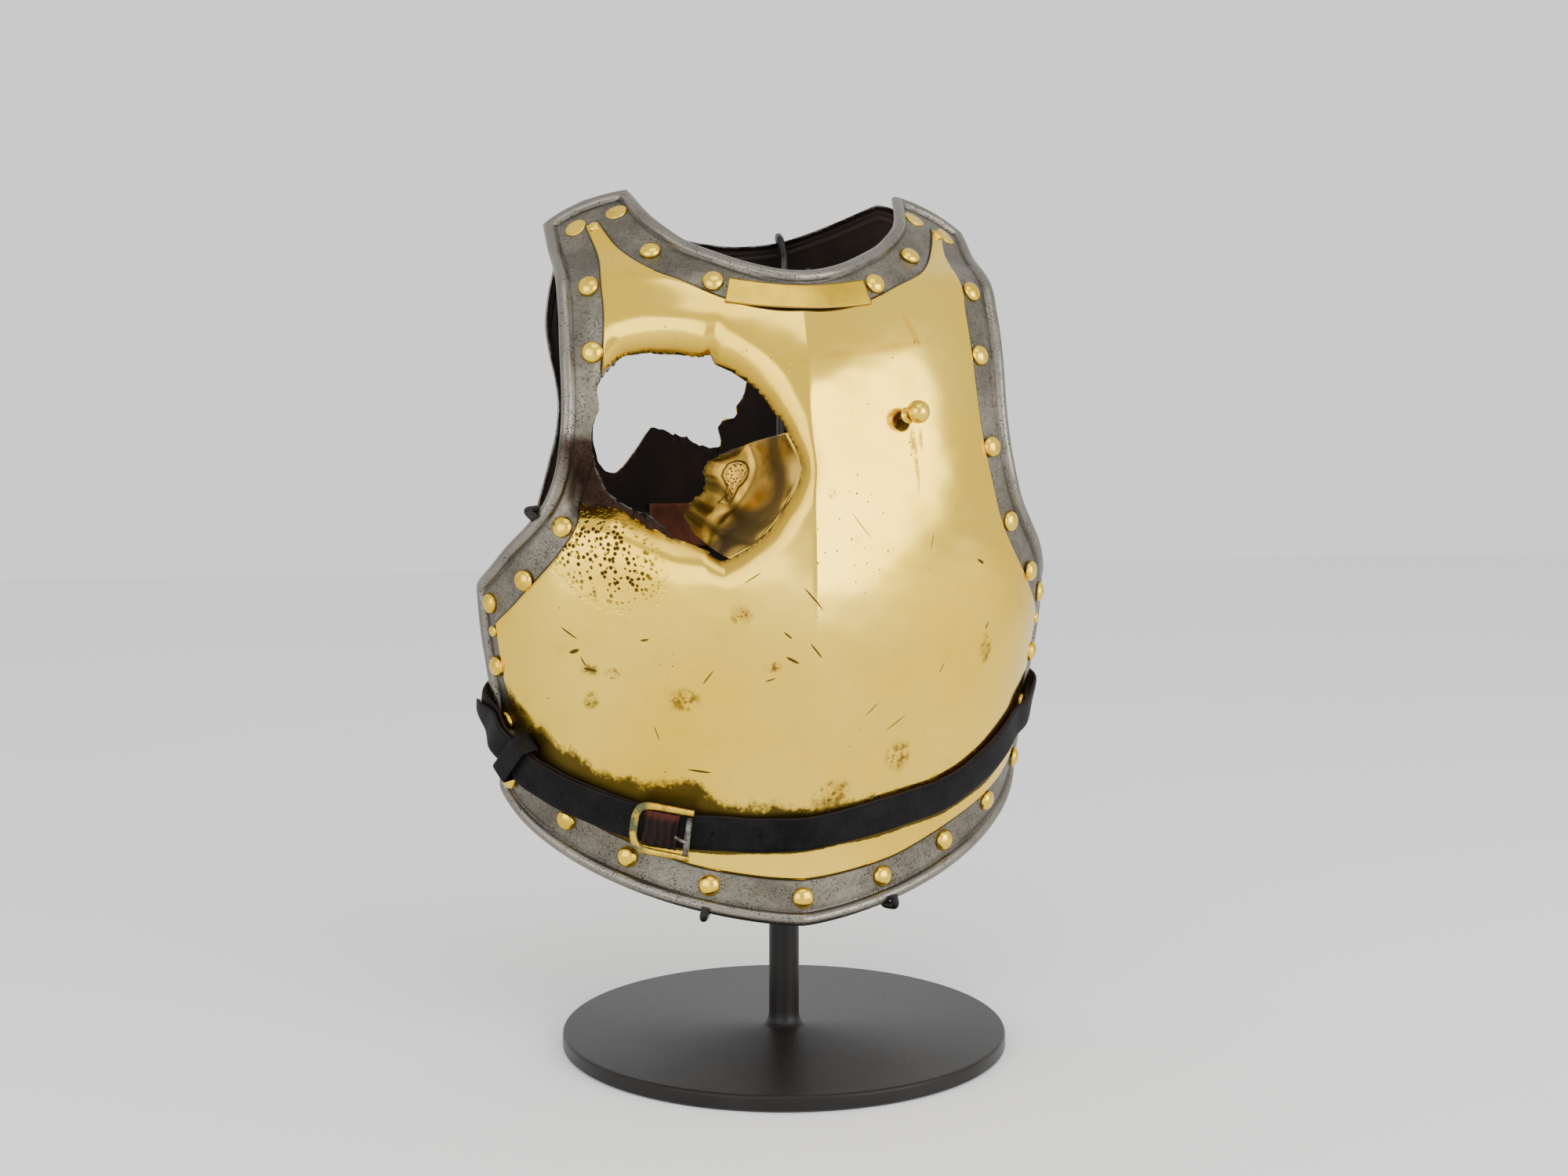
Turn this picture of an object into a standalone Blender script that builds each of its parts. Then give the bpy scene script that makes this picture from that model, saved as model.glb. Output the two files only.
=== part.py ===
"""Heavy cavalry cuirass, brass over steel, shot through by a cannon ball, on a plain stand.

Metres, +Z up. The breastplate faces -Y, and +X is the wearer's left. The origin is on the
post's axis, at the underside of the stand's foot.
"""
import math

import bmesh
import bpy
import numpy as np
from mathutils import Vector
from mathutils.bvhtree import BVHTree

# Driving sizes of the plates
BODY_WIDTH = 0.372
PLATE_HEIGHT = 0.455
FRONT_DEPTH = 0.120
BACK_WIDTH = 0.360
BACK_HEIGHT = 0.412
BACK_DEPTH = 0.135
RIM_HEIGHT = 0.085
BACK_RIM_HEIGHT = 0.129
FRONT_STEEL = 0.0028
BACK_STEEL = 0.0015
BRASS = 0.0009
FIT = 0.0003

# Edge bead and the steel borders round the brass
BEAD_WIDTH = 0.0080
BEAD_HEIGHT = 0.0038
BORDER = {"bottom": 0.028, "side": 0.019, "arm": 0.027, "top": 0.027, "neck": 0.029}
BACK_BORDER = {"bottom": 0.026, "side": 0.024, "arm": 0.020, "top": 0.022, "neck": 0.018}
# The front borders' widths at even steps along each edge, as shares of the sizes above
BORDER_SHAPE = {
    "bottom": (1.12, 1.04, 0.93, 1.00, 0.93, 1.04, 1.12),
    "side": (1.00, 1.00),
    "arm": (1.12, 1.08, 0.89, 0.94, 1.05, 1.03, 1.00),
    "top": (1.00, 1.00),
    "neck": (0.96, 1.00, 1.13, 1.06, 0.97, 1.06, 1.13, 1.00, 0.96),
}
PLAIN_SHAPE = {name: (1.0, 1.0) for name in BACK_BORDER}

# Rivets, stud, plaque and tag
RIVET_DIAMETER = 0.0134
RIVET_HEIGHT = 0.0048
SMALL_RIVET_DIAMETER = 0.0074
SHOULDER_RIVET_DIAMETER = 0.0142
SHOULDER_RIVET_HEIGHT = 0.0014
STUD_BALL = 0.0142
STUD_NECK = 0.0062
STUD_HEIGHT = 0.0190
PLAQUE_THICKNESS = 0.0008
TAG_WIDTH = 0.046
TAG_HEIGHT = 0.030
TAG_THICKNESS = 0.0010

# The ball's holes
HOLE_RADIUS = 0.062
HOLE_SIDE = -0.065
HOLE_HEIGHT = 0.287
EXIT_RADIUS = 0.060
EXIT_SIDE = -0.047
EXIT_HEIGHT = 0.293
# The brass that stays between the exit hole and the facing's own edge
BRASS_MARGIN = 0.005

# Belt and buckle
BELT_WIDTH = 0.023
LEATHER = 0.0026
KEEPER_WIDTH = 0.013
KEEPER_LEATHER = 0.0018
KEEPER_SLACK = 0.0018
BUCKLE_LENGTH = 0.038
BUCKLE_HEIGHT = 0.035
BUCKLE_BAR = 0.0046
BUCKLE_THICKNESS = 0.0036
BELT_RIVET_DIAMETER = 0.0090

# Stand
FOOT_RADIUS = 0.140
FOOT_THICKNESS = 0.010
POST_DIAMETER = 0.019
POST_HEIGHT = 0.330
SPINE_DIAMETER = 0.009
SPINE_HEIGHT = 0.452
CLIP_DIAMETER = 0.0050

# Cross sections of the breastplate. Height above the rim is a share of PLATE_HEIGHT, half width a
# share of BODY_WIDTH / 2, and the rest are shares of FRONT_DEPTH: how far the keel stands forward,
# how much of that is the keel's own ridge, and how deep the plate bends back.
FRONT_SECTIONS = [
    # height, half, keel, ridge, bend
    (-0.02, 0.920, 0.417, 0.090, 0.983),
    (0.045, 0.915, 0.400, 0.100, 0.983),
    (0.100, 0.915, 0.408, 0.108, 0.975),
    (0.143, 0.920, 0.458, 0.125, 0.958),
    (0.198, 0.925, 0.525, 0.142, 0.942),
    (0.264, 0.940, 0.583, 0.158, 0.950),
    (0.330, 0.968, 0.625, 0.167, 0.975),
    (0.396, 0.990, 0.658, 0.167, 1.000),
    (0.462, 1.000, 0.667, 0.158, 1.008),
    (0.538, 1.000, 0.654, 0.142, 0.983),
    (0.604, 0.995, 0.625, 0.125, 0.942),
    (0.670, 0.990, 0.558, 0.108, 0.900),
    (0.725, 0.985, 0.504, 0.100, 0.883),
    (0.780, 0.978, 0.433, 0.083, 0.900),
    (0.824, 0.968, 0.358, 0.058, 0.942),
    (0.868, 0.962, 0.258, 0.033, 1.042),
    (0.905, 0.957, 0.092, 0.017, 1.317),
    (0.943, 0.952, -0.008, 0.008, 1.567),
    (0.967, 0.952, -0.125, 0.004, 1.667),
    (1.000, 0.952, -0.317, 0.002, 1.750),
]
# The backplate in the same form: height is a share of BACK_HEIGHT, half width of BACK_WIDTH / 2,
# and how far the spine line stands back and the plate bends forward are shares of BACK_DEPTH.
BACK_SECTIONS = [
    (-0.03, 0.900, 0.948, 0.0, 0.640),
    (0.040, 0.897, 0.915, 0.0, 0.640),
    (0.087, 0.900, 0.918, 0.0, 0.655),
    (0.170, 0.914, 0.975, 0.0, 0.770),
    (0.270, 0.946, 1.052, 0.0, 0.870),
    (0.390, 0.978, 1.133, 0.0, 0.975),
    (0.510, 0.990, 1.193, 0.0, 1.000),
    (0.635, 0.990, 1.215, 0.0, 0.960),
    (0.730, 0.975, 1.200, 0.0, 0.880),
    (0.825, 0.955, 1.156, 0.0, 0.780),
    (0.900, 0.935, 1.096, 0.0, 0.660),
    (0.960, 0.920, 1.037, 0.0, 0.540),
    (1.010, 0.910, 0.980, 0.0, 0.450),
]
# How far from the keel the ridge is spread, as a share of the half width
RIDGE_REACH = 0.6

# Outlines. Angles round the body are in degrees from the middle line, heights as shares.
FRONT_SIDE_ANGLE = 82.0
FRONT_SIDE = (0.165, 0.455)
FRONT_ARM = [
    # angle, height
    (82.0, 0.455), (72.0, 0.484), (66.3, 0.508), (58.7, 0.541), (54.6, 0.567), (51.8, 0.604),
    (49.8, 0.670), (50.0, 0.763), (51.0, 0.857), (51.7, 0.943),
]
FRONT_NECK = [
    (29.3, 0.991), (25.8, 0.947), (23.0, 0.930), (19.3, 0.912), (15.5, 0.899), (8.9, 0.881),
    (0.0, 0.871), (-8.9, 0.881), (-15.5, 0.899), (-19.3, 0.912), (-23.0, 0.930), (-25.8, 0.947),
    (-29.3, 0.991),
]
BACK_SIDE_ANGLE = 84.0
BACK_SIDE = (0.080, 0.372)
BACK_ARM = [
    (84.0, 0.372), (74.0, 0.392), (64.0, 0.420), (56.5, 0.446), (51.8, 0.503), (47.2, 0.566),
    (44.0, 0.626), (43.6, 0.663), (44.8, 0.701), (47.6, 0.748), (49.6, 0.790), (49.6, 0.830),
    (48.3, 0.880), (47.0, 0.930), (46.5, 0.965),
]
BACK_NECK = [
    (35.5, 0.995), (30.5, 0.982), (25.0, 0.967), (18.0, 0.949), (11.0, 0.934), (5.0, 0.928),
    (0.0, 0.926), (-5.0, 0.928), (-11.0, 0.934), (-18.0, 0.949), (-25.0, 0.967), (-30.5, 0.982),
    (-35.5, 0.995),
]
BOTTOM_POWER = 1.6
SHOULDER_ARCH = 0.006

# The entry hole, round its centre. Bearings are degrees from +X towards +Z, and the rest are
# shares of HOLE_RADIUS: the torn edge of the brass, that of the steel, and the dish pressed in
# round them.
ENTRY = [
    # bearing, brass, steel, dish_width, dish_depth
    (-180, 1.02, 0.94, 0.18, 0.08),
    (-165, 1.10, 0.90, 0.35, 0.28),
    (-155, 1.15, 0.88, 0.45, 0.34),
    (-148, 0.98, 0.84, 0.45, 0.32),
    (-140, 0.86, 0.80, 0.42, 0.28),
    (-126, 0.82, 0.72, 0.36, 0.24),
    (-112, 0.82, 0.76, 0.36, 0.20),
    (-98, 0.85, 0.86, 0.38, 0.17),
    (-87, 0.90, 0.92, 0.28, 0.15),
    (-78, 1.05, 1.06, 0.20, 0.14),
    (-60, 1.00, 1.03, 0.14, 0.13),
    (-33, 0.94, 0.97, 0.14, 0.13),
    (-8, 0.98, 1.00, 0.12, 0.12),
    (12, 0.89, 0.92, 0.14, 0.13),
    (30, 0.85, 0.90, 0.20, 0.16),
    (54, 0.87, 0.90, 0.30, 0.20),
    (74, 0.90, 0.93, 0.34, 0.22),
    (79, 0.98, 0.99, 0.34, 0.22),
    (84, 0.93, 0.97, 0.35, 0.23),
    (104, 1.00, 1.03, 0.36, 0.24),
    (122, 1.12, 1.12, 0.34, 0.20),
    (136, 1.15, 1.12, 0.28, 0.12),
    (146, 1.06, 1.08, 0.16, 0.06),
    (152, 1.00, 0.98, 0.14, 0.05),
    (165, 1.00, 0.98, 0.12, 0.04),
]
# The exit hole's torn edge, as shares of EXIT_RADIUS
EXIT = [
    # bearing, edge
    (-180, 0.87), (-165, 0.90), (-150, 0.99), (-140, 1.12), (-129, 1.26), (-123, 1.28),
    (-117, 1.22), (-113, 0.98),
    (-108, 0.72), (-104, 0.60), (-90, 0.60), (-69, 0.74), (-58, 0.96), (-48, 1.08), (-42, 0.90),
    (-33, 0.88), (-27, 1.02), (-22, 0.94), (-11, 1.00), (10, 1.05), (30, 0.96), (50, 1.03),
    (75, 0.94), (95, 1.04), (120, 0.97), (145, 0.98), (165, 0.90),
]
# The brass tongue folded into the hole. Each row is a line across it, from its root at the torn
# edge to its free end: the bearing of its root, then its middle and its end from the hole's
# centre, sideways, up and inwards, as shares of HOLE_RADIUS.
FLAP = [
    # bearing, middle, end
    (14.0, (0.69, 0.12, 0.50), (0.52, 0.04, 0.73)),
    (-8.0, (0.74, -0.17, 0.47), (0.30, -0.09, 0.79)),
    (-30.0, (0.59, -0.49, 0.47), (0.21, -0.41, 0.82)),
    (-55.0, (0.33, -0.75, 0.40), (0.05, -0.56, 0.79)),
    (-74.0, (0.22, -0.92, 0.32), (0.07, -0.77, 0.56)),
]
FLAP_ROOT_GAP = 0.0007

# Rivets along half of the breastplate's outline. Shares run up each edge, the bottom's from the
# side to the middle. Insets are shares of that edge's border.
EDGE_RIVETS = [
    # edge, share, inset, head
    ("bottom", 0.132, 0.80, "dome"), ("bottom", 0.237, 0.66, "dome"), ("bottom", 0.362, 0.60, "dome"),
    ("side", 0.09, 0.72, "dome"), ("side", 0.35, 0.80, "dome"), ("side", 0.61, 0.76, "dome"),
    ("side", 0.78, 0.86, "small"), ("side", 0.91, 0.78, "dome"),
    ("arm", 0.14, 0.90, "dome"), ("arm", 0.272, 0.68, "dome"), ("arm", 0.406, 0.73, "dome"),
    ("arm", 0.588, 0.76, "dome"), ("arm", 0.728, 0.76, "dome"),
    ("top", 0.336, 0.88, "flat"), ("top", 0.88, 0.84, "flat"), ("top", 0.58, 1.26, "small"),
    ("neck", 0.208, 0.68, "dome"), ("neck", 0.361, 0.80, "dome"),
]
# The wearer's right arm edge has no rivet here: it went with the metal round the hole
LOST_RIVET = ("arm", 0.406)
STUD_PLACE = (20.5, 0.681)
PLAQUE_ANGLES = (-13.2, 13.4)
PLAQUE_HEIGHTS = (0.829, 0.862)
PLAQUE_DROP = 0.010
TAG_PLACE = (-11.5, 0.462)

# The belt's middle line, from the wearer's right flank on the backplate, across the breastplate,
# to the left flank.
BELT_LINE = [
    # plate, angle, height
    ("back", -50.0, 0.245), ("back", -58.0, 0.240), ("back", -66.0, 0.235), ("back", -74.0, 0.228),
    ("front", -82.0, 0.284), ("front", -77.0, 0.270), ("front", -72.0, 0.248),
    ("front", -67.0, 0.222), ("front", -63.0, 0.205), ("front", -59.0, 0.192),
    ("front", -53.0, 0.179), ("front", -47.0, 0.168), ("front", -41.5, 0.158),
    ("front", -36.5, 0.149), ("front", -32.5, 0.143), ("front", -28.5, 0.138),
    ("front", -24.5, 0.135), ("front", -20.5, 0.132), ("front", -16.0, 0.130),
    ("front", -11.0, 0.128), ("front", -5.5, 0.129), ("front", 0.0, 0.131), ("front", 6.0, 0.134),
    ("front", 12.0, 0.139), ("front", 18.0, 0.145), ("front", 25.0, 0.152), ("front", 32.0, 0.159),
    ("front", 39.0, 0.173), ("front", 46.0, 0.192), ("front", 52.0, 0.209), ("front", 58.0, 0.227),
    ("front", 64.0, 0.244), ("front", 70.0, 0.258), ("front", 76.0, 0.272), ("front", 82.0, 0.284),
    ("back", 74.0, 0.228), ("back", 66.0, 0.235), ("back", 58.0, 0.240), ("back", 50.0, 0.245),
]
BELT_SLOPE = 0.40
BELT_CLEAR = 0.0011
SHORT_STRAP_END = 16
TAIL_TIP = 4
KEEPER_STATION = 7
BUCKLE_STATION = 15
TAIL_TIP_WIDTH = 0.34

# The stand's wire clips: the edge each one holds, how far along it, the height of its root on the
# post, its room round the edge, and whether it hooks over or only stands behind
CLIPS = [
    # name, edge, share, root, room, whole
    ("rim_right", "bottom", 0.365, 0.12, 0.0003, True),
    ("rim_left", "bottom", 0.640, 0.12, 0.0003, True),
    ("arm_right", "arm", 0.745, 0.24, 0.0008, True),
    ("neck_front", "neck", 0.460, 0.44, 0.0003, False),
    ("neck_back", "collar", 0.340, 0.44, 0.0005, True),
]

# Mesh counts: the vertices along an edge's path, the steps of an inset and the sides of a bar
STEPS = {"path": 80, "inset": 5, "round": 8}
FRONT_COUNTS = {"across": 22, "side": 5, "arm": 12, "top": 3}
BACK_COUNTS = {"across": 16, "side": 4, "arm": 10, "top": 2}


def curve_through(x, xs, ys):
    """Smooth curve through the points, straight past both ends."""
    xs, ys = np.asarray(xs, float), np.asarray(ys, float)
    step = np.diff(xs)
    slope = np.diff(ys) / step
    tangent = np.empty_like(ys)
    tangent[1:-1] = (slope[:-1] * step[1:] + slope[1:] * step[:-1]) / (step[:-1] + step[1:])
    tangent[0], tangent[-1] = slope[0], slope[-1]
    i = np.clip(np.searchsorted(xs, x) - 1, 0, len(step) - 1)
    t = (x - xs[i]) / step[i]
    t2, t3 = t * t, t * t * t
    y = ((2 * t3 - 3 * t2 + 1) * ys[i] + (t3 - 2 * t2 + t) * step[i] * tangent[i]
         + (3 * t2 - 2 * t3) * ys[i + 1] + (t3 - t2) * step[i] * tangent[i + 1])
    before = ys[0] + tangent[0] * (x - xs[0])
    after = ys[-1] + tangent[-1] * (x - xs[-1])
    return np.where(x < xs[0], before, np.where(x > xs[-1], after, y))


def unit(vectors):
    return vectors / np.linalg.norm(vectors, axis=-1, keepdims=True)


def around(bearing, table, column):
    """A column of a table of bearings, read all the way round."""
    rows = np.asarray(table, float)
    xs = np.concatenate([rows[-1:, 0] - 360, rows[:, 0], rows[:1, 0] + 360])
    ys = np.concatenate([rows[-1:, column], rows[:, column], rows[:1, column]])
    return np.interp(bearing, xs, ys)


def entry_dish(x, z):
    """How far the ball pressed the breastplate inwards at a place."""
    across, up = x - HOLE_SIDE, z - RIM_HEIGHT - HOLE_HEIGHT
    bearing = np.degrees(np.arctan2(up, across))
    edge = HOLE_RADIUS * around(bearing, ENTRY, 1)
    width = HOLE_RADIUS * around(bearing, ENTRY, 3)
    depth = HOLE_RADIUS * around(bearing, ENTRY, 4)
    reach = np.hypot(across, up)
    even = np.mean([row[4] for row in ENTRY]) * HOLE_RADIUS
    depth = even + (depth - even) * np.clip(reach / edge, 0, 1) ** 2
    return depth * (1 - np.clip((reach - edge) / width, 0, 1)) ** 2


class Plate:
    """A bent plate. Its places are pairs: the angle round the body and the height above the rim."""

    def __init__(self, sections, size, facing, rim, dented):
        self.rows = np.asarray(sections, float)
        self.width, self.height, self.depth = size
        self.facing = facing
        self.rim = rim
        self.dented = dented

    def place(self, angle, share):
        """The place at an angle in degrees and a share of the plate's height."""
        return np.stack(np.broadcast_arrays(np.radians(angle), np.asarray(share) * self.height), -1)

    def point(self, q):
        angle, share = q[..., 0], q[..., 1] / self.height
        half, crown, ridge, bend = (curve_through(share, self.rows[:, 0], self.rows[:, i])
                                    for i in (1, 2, 3, 4))
        spread = np.clip(1 - np.abs(np.sin(angle)) / RIDGE_REACH, 0, 1)
        out = crown - ridge * (1 - spread ** 2) - bend * (1 - np.cos(angle))
        x = self.width / 2 * half * np.sin(angle)
        z = self.rim + q[..., 1]
        y = self.facing * self.depth * out
        if self.dented:
            y = y + entry_dish(x, z)
        return np.stack([x, y, z], -1)

    def slopes(self, q):
        turn, rise = np.array([1e-3, 0]), np.array([0, 1e-4])
        return ((self.point(q + turn) - self.point(q - turn)) / 2e-3,
                (self.point(q + rise) - self.point(q - rise)) / 2e-4)

    def normal(self, q):
        """Outward unit normal."""
        turn, rise = self.slopes(q)
        return unit(np.cross(turn, rise)) * -self.facing

    def moved(self, q, move):
        """The places reached by small moves along the surface."""
        turn, rise = self.slopes(q)
        tt, rr, tr = (turn * turn).sum(-1), (rise * rise).sum(-1), (turn * rise).sum(-1)
        tm, rm = (turn * move).sum(-1), (rise * move).sum(-1)
        scale = tt * rr - tr * tr
        return q + np.stack([(tm * rr - rm * tr) / scale, (rm * tt - tm * tr) / scale], -1)

    def inset(self, path, distance, closed=False):
        """A path moved inwards along the surface, mitred at its corners."""
        for _ in range(STEPS["inset"]):
            p = self.point(path)
            ahead, behind = np.roll(p, -1, 0) - p, p - np.roll(p, 1, 0)
            if not closed:
                ahead[-1], behind[0] = behind[-1], ahead[0]
            up = self.normal(path) * -self.facing
            first, second = unit(np.cross(up, behind)), unit(np.cross(up, ahead))
            spread = 1 + (first * second).sum(-1, keepdims=True)
            path = self.moved(path, (first + second) / spread * distance / STEPS["inset"])
        return path

    def even(self, path, count):
        """The path resampled at equal steps along the surface."""
        steps = np.linalg.norm(np.diff(self.point(path), axis=0), axis=1)
        run = np.concatenate([[0], np.cumsum(steps)])
        at = np.linspace(0, run[-1], count + 1)
        return np.stack([np.interp(at, run, path[:, i]) for i in (0, 1)], -1)


def mirrored(path):
    """The path on the other side of the body, run the other way."""
    return path[::-1] * np.array([-1, 1])


def smooth_path(plate, table):
    rows = np.asarray(table, float)
    run = np.concatenate([[0], np.cumsum(np.hypot(np.diff(np.radians(rows[:, 0])),
                                                  np.diff(rows[:, 1]) * 2))])
    at = np.linspace(0, run[-1], STEPS["path"])
    return plate.place(curve_through(at, run, rows[:, 0]), curve_through(at, run, rows[:, 1]))


def outline(plate, side_angle, side, arm, neck):
    """The edges of a plate in order: bottom, right side, right arm, right top, neck and so on."""
    share = np.linspace(-1, 1, STEPS["path"])
    bottom = plate.place(side_angle * share, side[0] * np.abs(share) ** BOTTOM_POWER)
    right_side = plate.place(side_angle, np.linspace(*side, STEPS["path"]))
    right_arm = smooth_path(plate, arm)
    neck_path = smooth_path(plate, neck)
    t = np.linspace(0, 1, STEPS["path"])[:, None]
    right_top = right_arm[-1] * (1 - t) + neck_path[0] * t
    right_top[:, 1] += SHOULDER_ARCH * 2 * (t * (1 - t))[:, 0]
    return {"bottom": bottom, "side": right_side, "arm": right_arm, "top": right_top,
            "neck": neck_path}


def lengthened(path):
    """The path run on straight by a third at each end, so that neighbours cross."""
    run = STEPS["path"] / 3
    return np.concatenate([path[:1] + (path[:1] - path[1:2]) * run, path,
                           path[-1:] + (path[-1:] - path[-2:-1]) * run])


def crossing(first, second):
    """Where two paths cross, as positions along each."""
    a, b = first[:-1, None], second[None, :-1]
    u, v = np.diff(first, axis=0)[:, None], np.diff(second, axis=0)[None]
    area = u[..., 0] * v[..., 1] - u[..., 1] * v[..., 0]
    gap = b - a
    s = (gap[..., 0] * v[..., 1] - gap[..., 1] * v[..., 0]) / area
    t = (gap[..., 0] * u[..., 1] - gap[..., 1] * u[..., 0]) / area
    i, j = np.argwhere((s >= 0) & (s <= 1) & (t >= 0) & (t <= 1))[0]
    return i + s[i, j], j + t[i, j]


def stretch(path, start, end):
    """The part of a path between two positions along it."""
    whole = np.arange(len(path))
    at = np.concatenate([[start], whole[(whole > start) & (whole < end)], [end]])
    return np.stack([np.interp(at, whole, path[:, i]) for i in (0, 1)], -1)


def brass_edges(plate, edges, border, shape):
    """The brass facing's edges: each edge set in by its border and trimmed where they meet."""
    inner = {}
    for name, size in border.items():
        steps = np.linspace(0, 1, len(shape[name]))
        width = size * np.interp(np.linspace(0, 1, STEPS["path"]), steps, shape[name])
        path = plate.even(edges[name], STEPS["path"] - 1)
        inner[name] = lengthened(plate.inset(path, width[:, None]))
    bottom_end, side_start = crossing(inner["bottom"], inner["side"])
    side_end, arm_start = crossing(inner["side"], inner["arm"])
    arm_end, top_start = crossing(inner["arm"], inner["top"])
    top_end, neck_start = crossing(inner["top"], inner["neck"])
    last = len(inner["bottom"]) - 1
    return {"bottom": stretch(inner["bottom"], last - bottom_end, bottom_end),
            "side": stretch(inner["side"], side_start, side_end),
            "arm": stretch(inner["arm"], arm_start, arm_end),
            "top": stretch(inner["top"], top_start, top_end),
            "neck": stretch(inner["neck"], neck_start, last - neck_start)}


def coons(bottom, top, left, right):
    """A grid of places filled in between four edges."""
    u = np.linspace(0, 1, len(bottom))[None, :, None]
    v = np.linspace(0, 1, len(left))[:, None, None]
    across = (1 - v) * bottom[None] + v * top[None]
    along = (1 - u) * left[:, None] + u * right[:, None]
    corners = ((1 - v) * ((1 - u) * bottom[0] + u * bottom[-1])
               + v * ((1 - u) * top[0] + u * top[-1]))
    return across + along - corners


class Layout:
    """The shared vertices of a plate's steel and brass: rings at the edge, then a grid."""

    def __init__(self, plate, edges, border, shape, counts):
        self.plate = plate
        brass = brass_edges(plate, edges, border, shape)
        n, ns, na, nt = (counts[k] for k in ("across", "side", "arm", "top"))
        rise = np.concatenate([plate.even(brass["side"], ns), plate.even(brass["arm"], na)[1:]])
        shoulder, dip = plate.even(brass["top"], nt), n - 2 * nt
        neck = plate.even(brass["neck"], dip)[-2:0:-1]
        over = np.concatenate([shoulder * np.array([-1, 1]), neck, shoulder[::-1]])
        self.grid = coons(plate.even(brass["bottom"], n), over, rise * np.array([-1, 1]), rise)
        side, arm = plate.even(edges["side"], ns), plate.even(edges["arm"], na)
        top = plate.even(edges["top"], nt)
        half = [side[1:], arm[1:], top[1:]]
        self.loop = np.concatenate([plate.even(edges["bottom"], n)] + half
                                   + [plate.even(edges["neck"], dip)[1:]]
                                   + [mirrored(top)[1:], mirrored(arm)[1:], mirrored(side)[1:-1]])
        up, wide = ns + na, n + 1
        right = [j * wide + n for j in range(1, up + 1)]
        left = [j * wide for j in range(up - 1, 0, -1)]
        self.rim = list(range(n + 1)) + right + [up * wide + n - k for k in range(1, n + 1)] + left
        self.rows, self.columns = up + 1, wide


def grid_quads(rows, columns, first=0):
    """The quads of a grid whose vertices are numbered row by row."""
    starts = [first + j * columns + i for j in range(rows - 1) for i in range(columns - 1)]
    return [(a, a + 1, a + columns + 1, a + columns) for a in starts]


def grid_loop(rows, columns):
    """The vertex numbers round a grid."""
    last = (rows - 1) * columns
    return (list(range(columns)) + [j * columns + columns - 1 for j in range(1, rows)]
            + [last + i for i in range(columns - 2, -1, -1)]
            + [j * columns for j in range(rows - 2, 0, -1)])


def band(first, second):
    """The quads between two loops of vertex numbers."""
    count = len(first)
    return [(first[k], first[(k + 1) % count], second[(k + 1) % count], second[k])
            for k in range(count)]


def triangles(quads, points):
    """Each quad cut along its shorter diagonal."""
    faces = []
    for a, b, c, d in quads:
        if np.linalg.norm(points[a] - points[c]) < np.linalg.norm(points[b] - points[d]) + FIT:
            faces += [(a, b, c), (a, c, d)]
        else:
            faces += [(a, b, d), (b, c, d)]
    return faces


def solid(name, vertices, faces, material):
    """A closed body with its faces turned outwards."""
    mesh = bpy.data.meshes.new(name)
    bm = bmesh.new()
    corners = [bm.verts.new(v) for v in vertices]
    for face in faces:
        bm.faces.new([corners[i] for i in face])
    bmesh.ops.recalc_face_normals(bm, faces=bm.faces)
    bm.to_mesh(mesh)
    bm.free()
    mesh.materials.append(material)
    mesh.shade_smooth()
    mesh.set_sharp_from_angle(angle=math.radians(35))
    obj = bpy.data.objects.new(name, mesh)
    bpy.context.scene.collection.objects.link(obj)
    return obj


def two_skins(middle, outer, inner, quads, loop):
    """Vertices and faces of a wall between two skins, whose quads are cut as the middle's are."""
    n = len(outer)
    faces = triangles(quads, middle)
    flipped = [tuple(i + n for i in reversed(f)) for f in faces]
    return np.concatenate([outer, inner]), faces + flipped + band([i + n for i in loop], loop)


def steel_plate(name, layout, wall, bead, material):
    """The steel: a bead round the edge, then the wall."""
    plate = layout.plate
    # Each ring's distance from the edge and its height, as shares of the bead's sizes
    rings = [(0.0, 0.45), (0.28, 1.0), (0.72, 1.0), (1.0, 0.0)]
    loops = [layout.loop if share == 0 else plate.inset(layout.loop, share * BEAD_WIDTH, True)
             for share, _ in rings]
    count = len(layout.loop)
    grid = layout.grid.reshape(-1, 2)
    places = np.concatenate(loops + [grid])
    lift = np.concatenate([bead * height for _, height in rings] + [np.zeros(len(grid))])
    numbers = [list(range(k * count, (k + 1) * count)) for k in range(len(rings))]
    first = len(rings) * count
    numbers.append([first + i for i in layout.rim])
    quads = grid_quads(layout.rows, layout.columns, first)
    for outside, inside in zip(numbers, numbers[1:]):
        quads += band(outside, inside)
    normal, point = plate.normal(places), plate.point(places)
    vertices, faces = two_skins(point, point + normal * lift[:, None], point - normal * wall,
                                quads, numbers[0])
    return solid(name, vertices, faces, material)


def brass_facing(name, layout, material):
    """The brass laid on the steel inside its border."""
    plate = layout.plate
    grid = layout.grid.reshape(-1, 2)
    normal, point = plate.normal(grid), plate.point(grid)
    vertices, faces = two_skins(point, point + normal * (FIT + BRASS), point + normal * FIT,
                                grid_quads(layout.rows, layout.columns), layout.rim)
    return solid(name, vertices, faces, material)


def reach_to(line, centre, bearing):
    """How far a closed line in X and Z lies from a point in the directions of some bearings."""
    start, run = line - centre, np.roll(line, -1, 0) - line
    found = []
    for c, s in zip(np.cos(bearing), np.sin(bearing)):
        area = c * run[:, 1] - s * run[:, 0]
        area = np.where(np.abs(area) < 1e-12, 1e-12, area)
        out = (start[:, 0] * run[:, 1] - start[:, 1] * run[:, 0]) / area
        share = (start[:, 0] * s - start[:, 1] * c) / area
        found.append(out[(share >= 0) & (share <= 1) & (out > 0)].min())
    return np.array(found)


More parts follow.
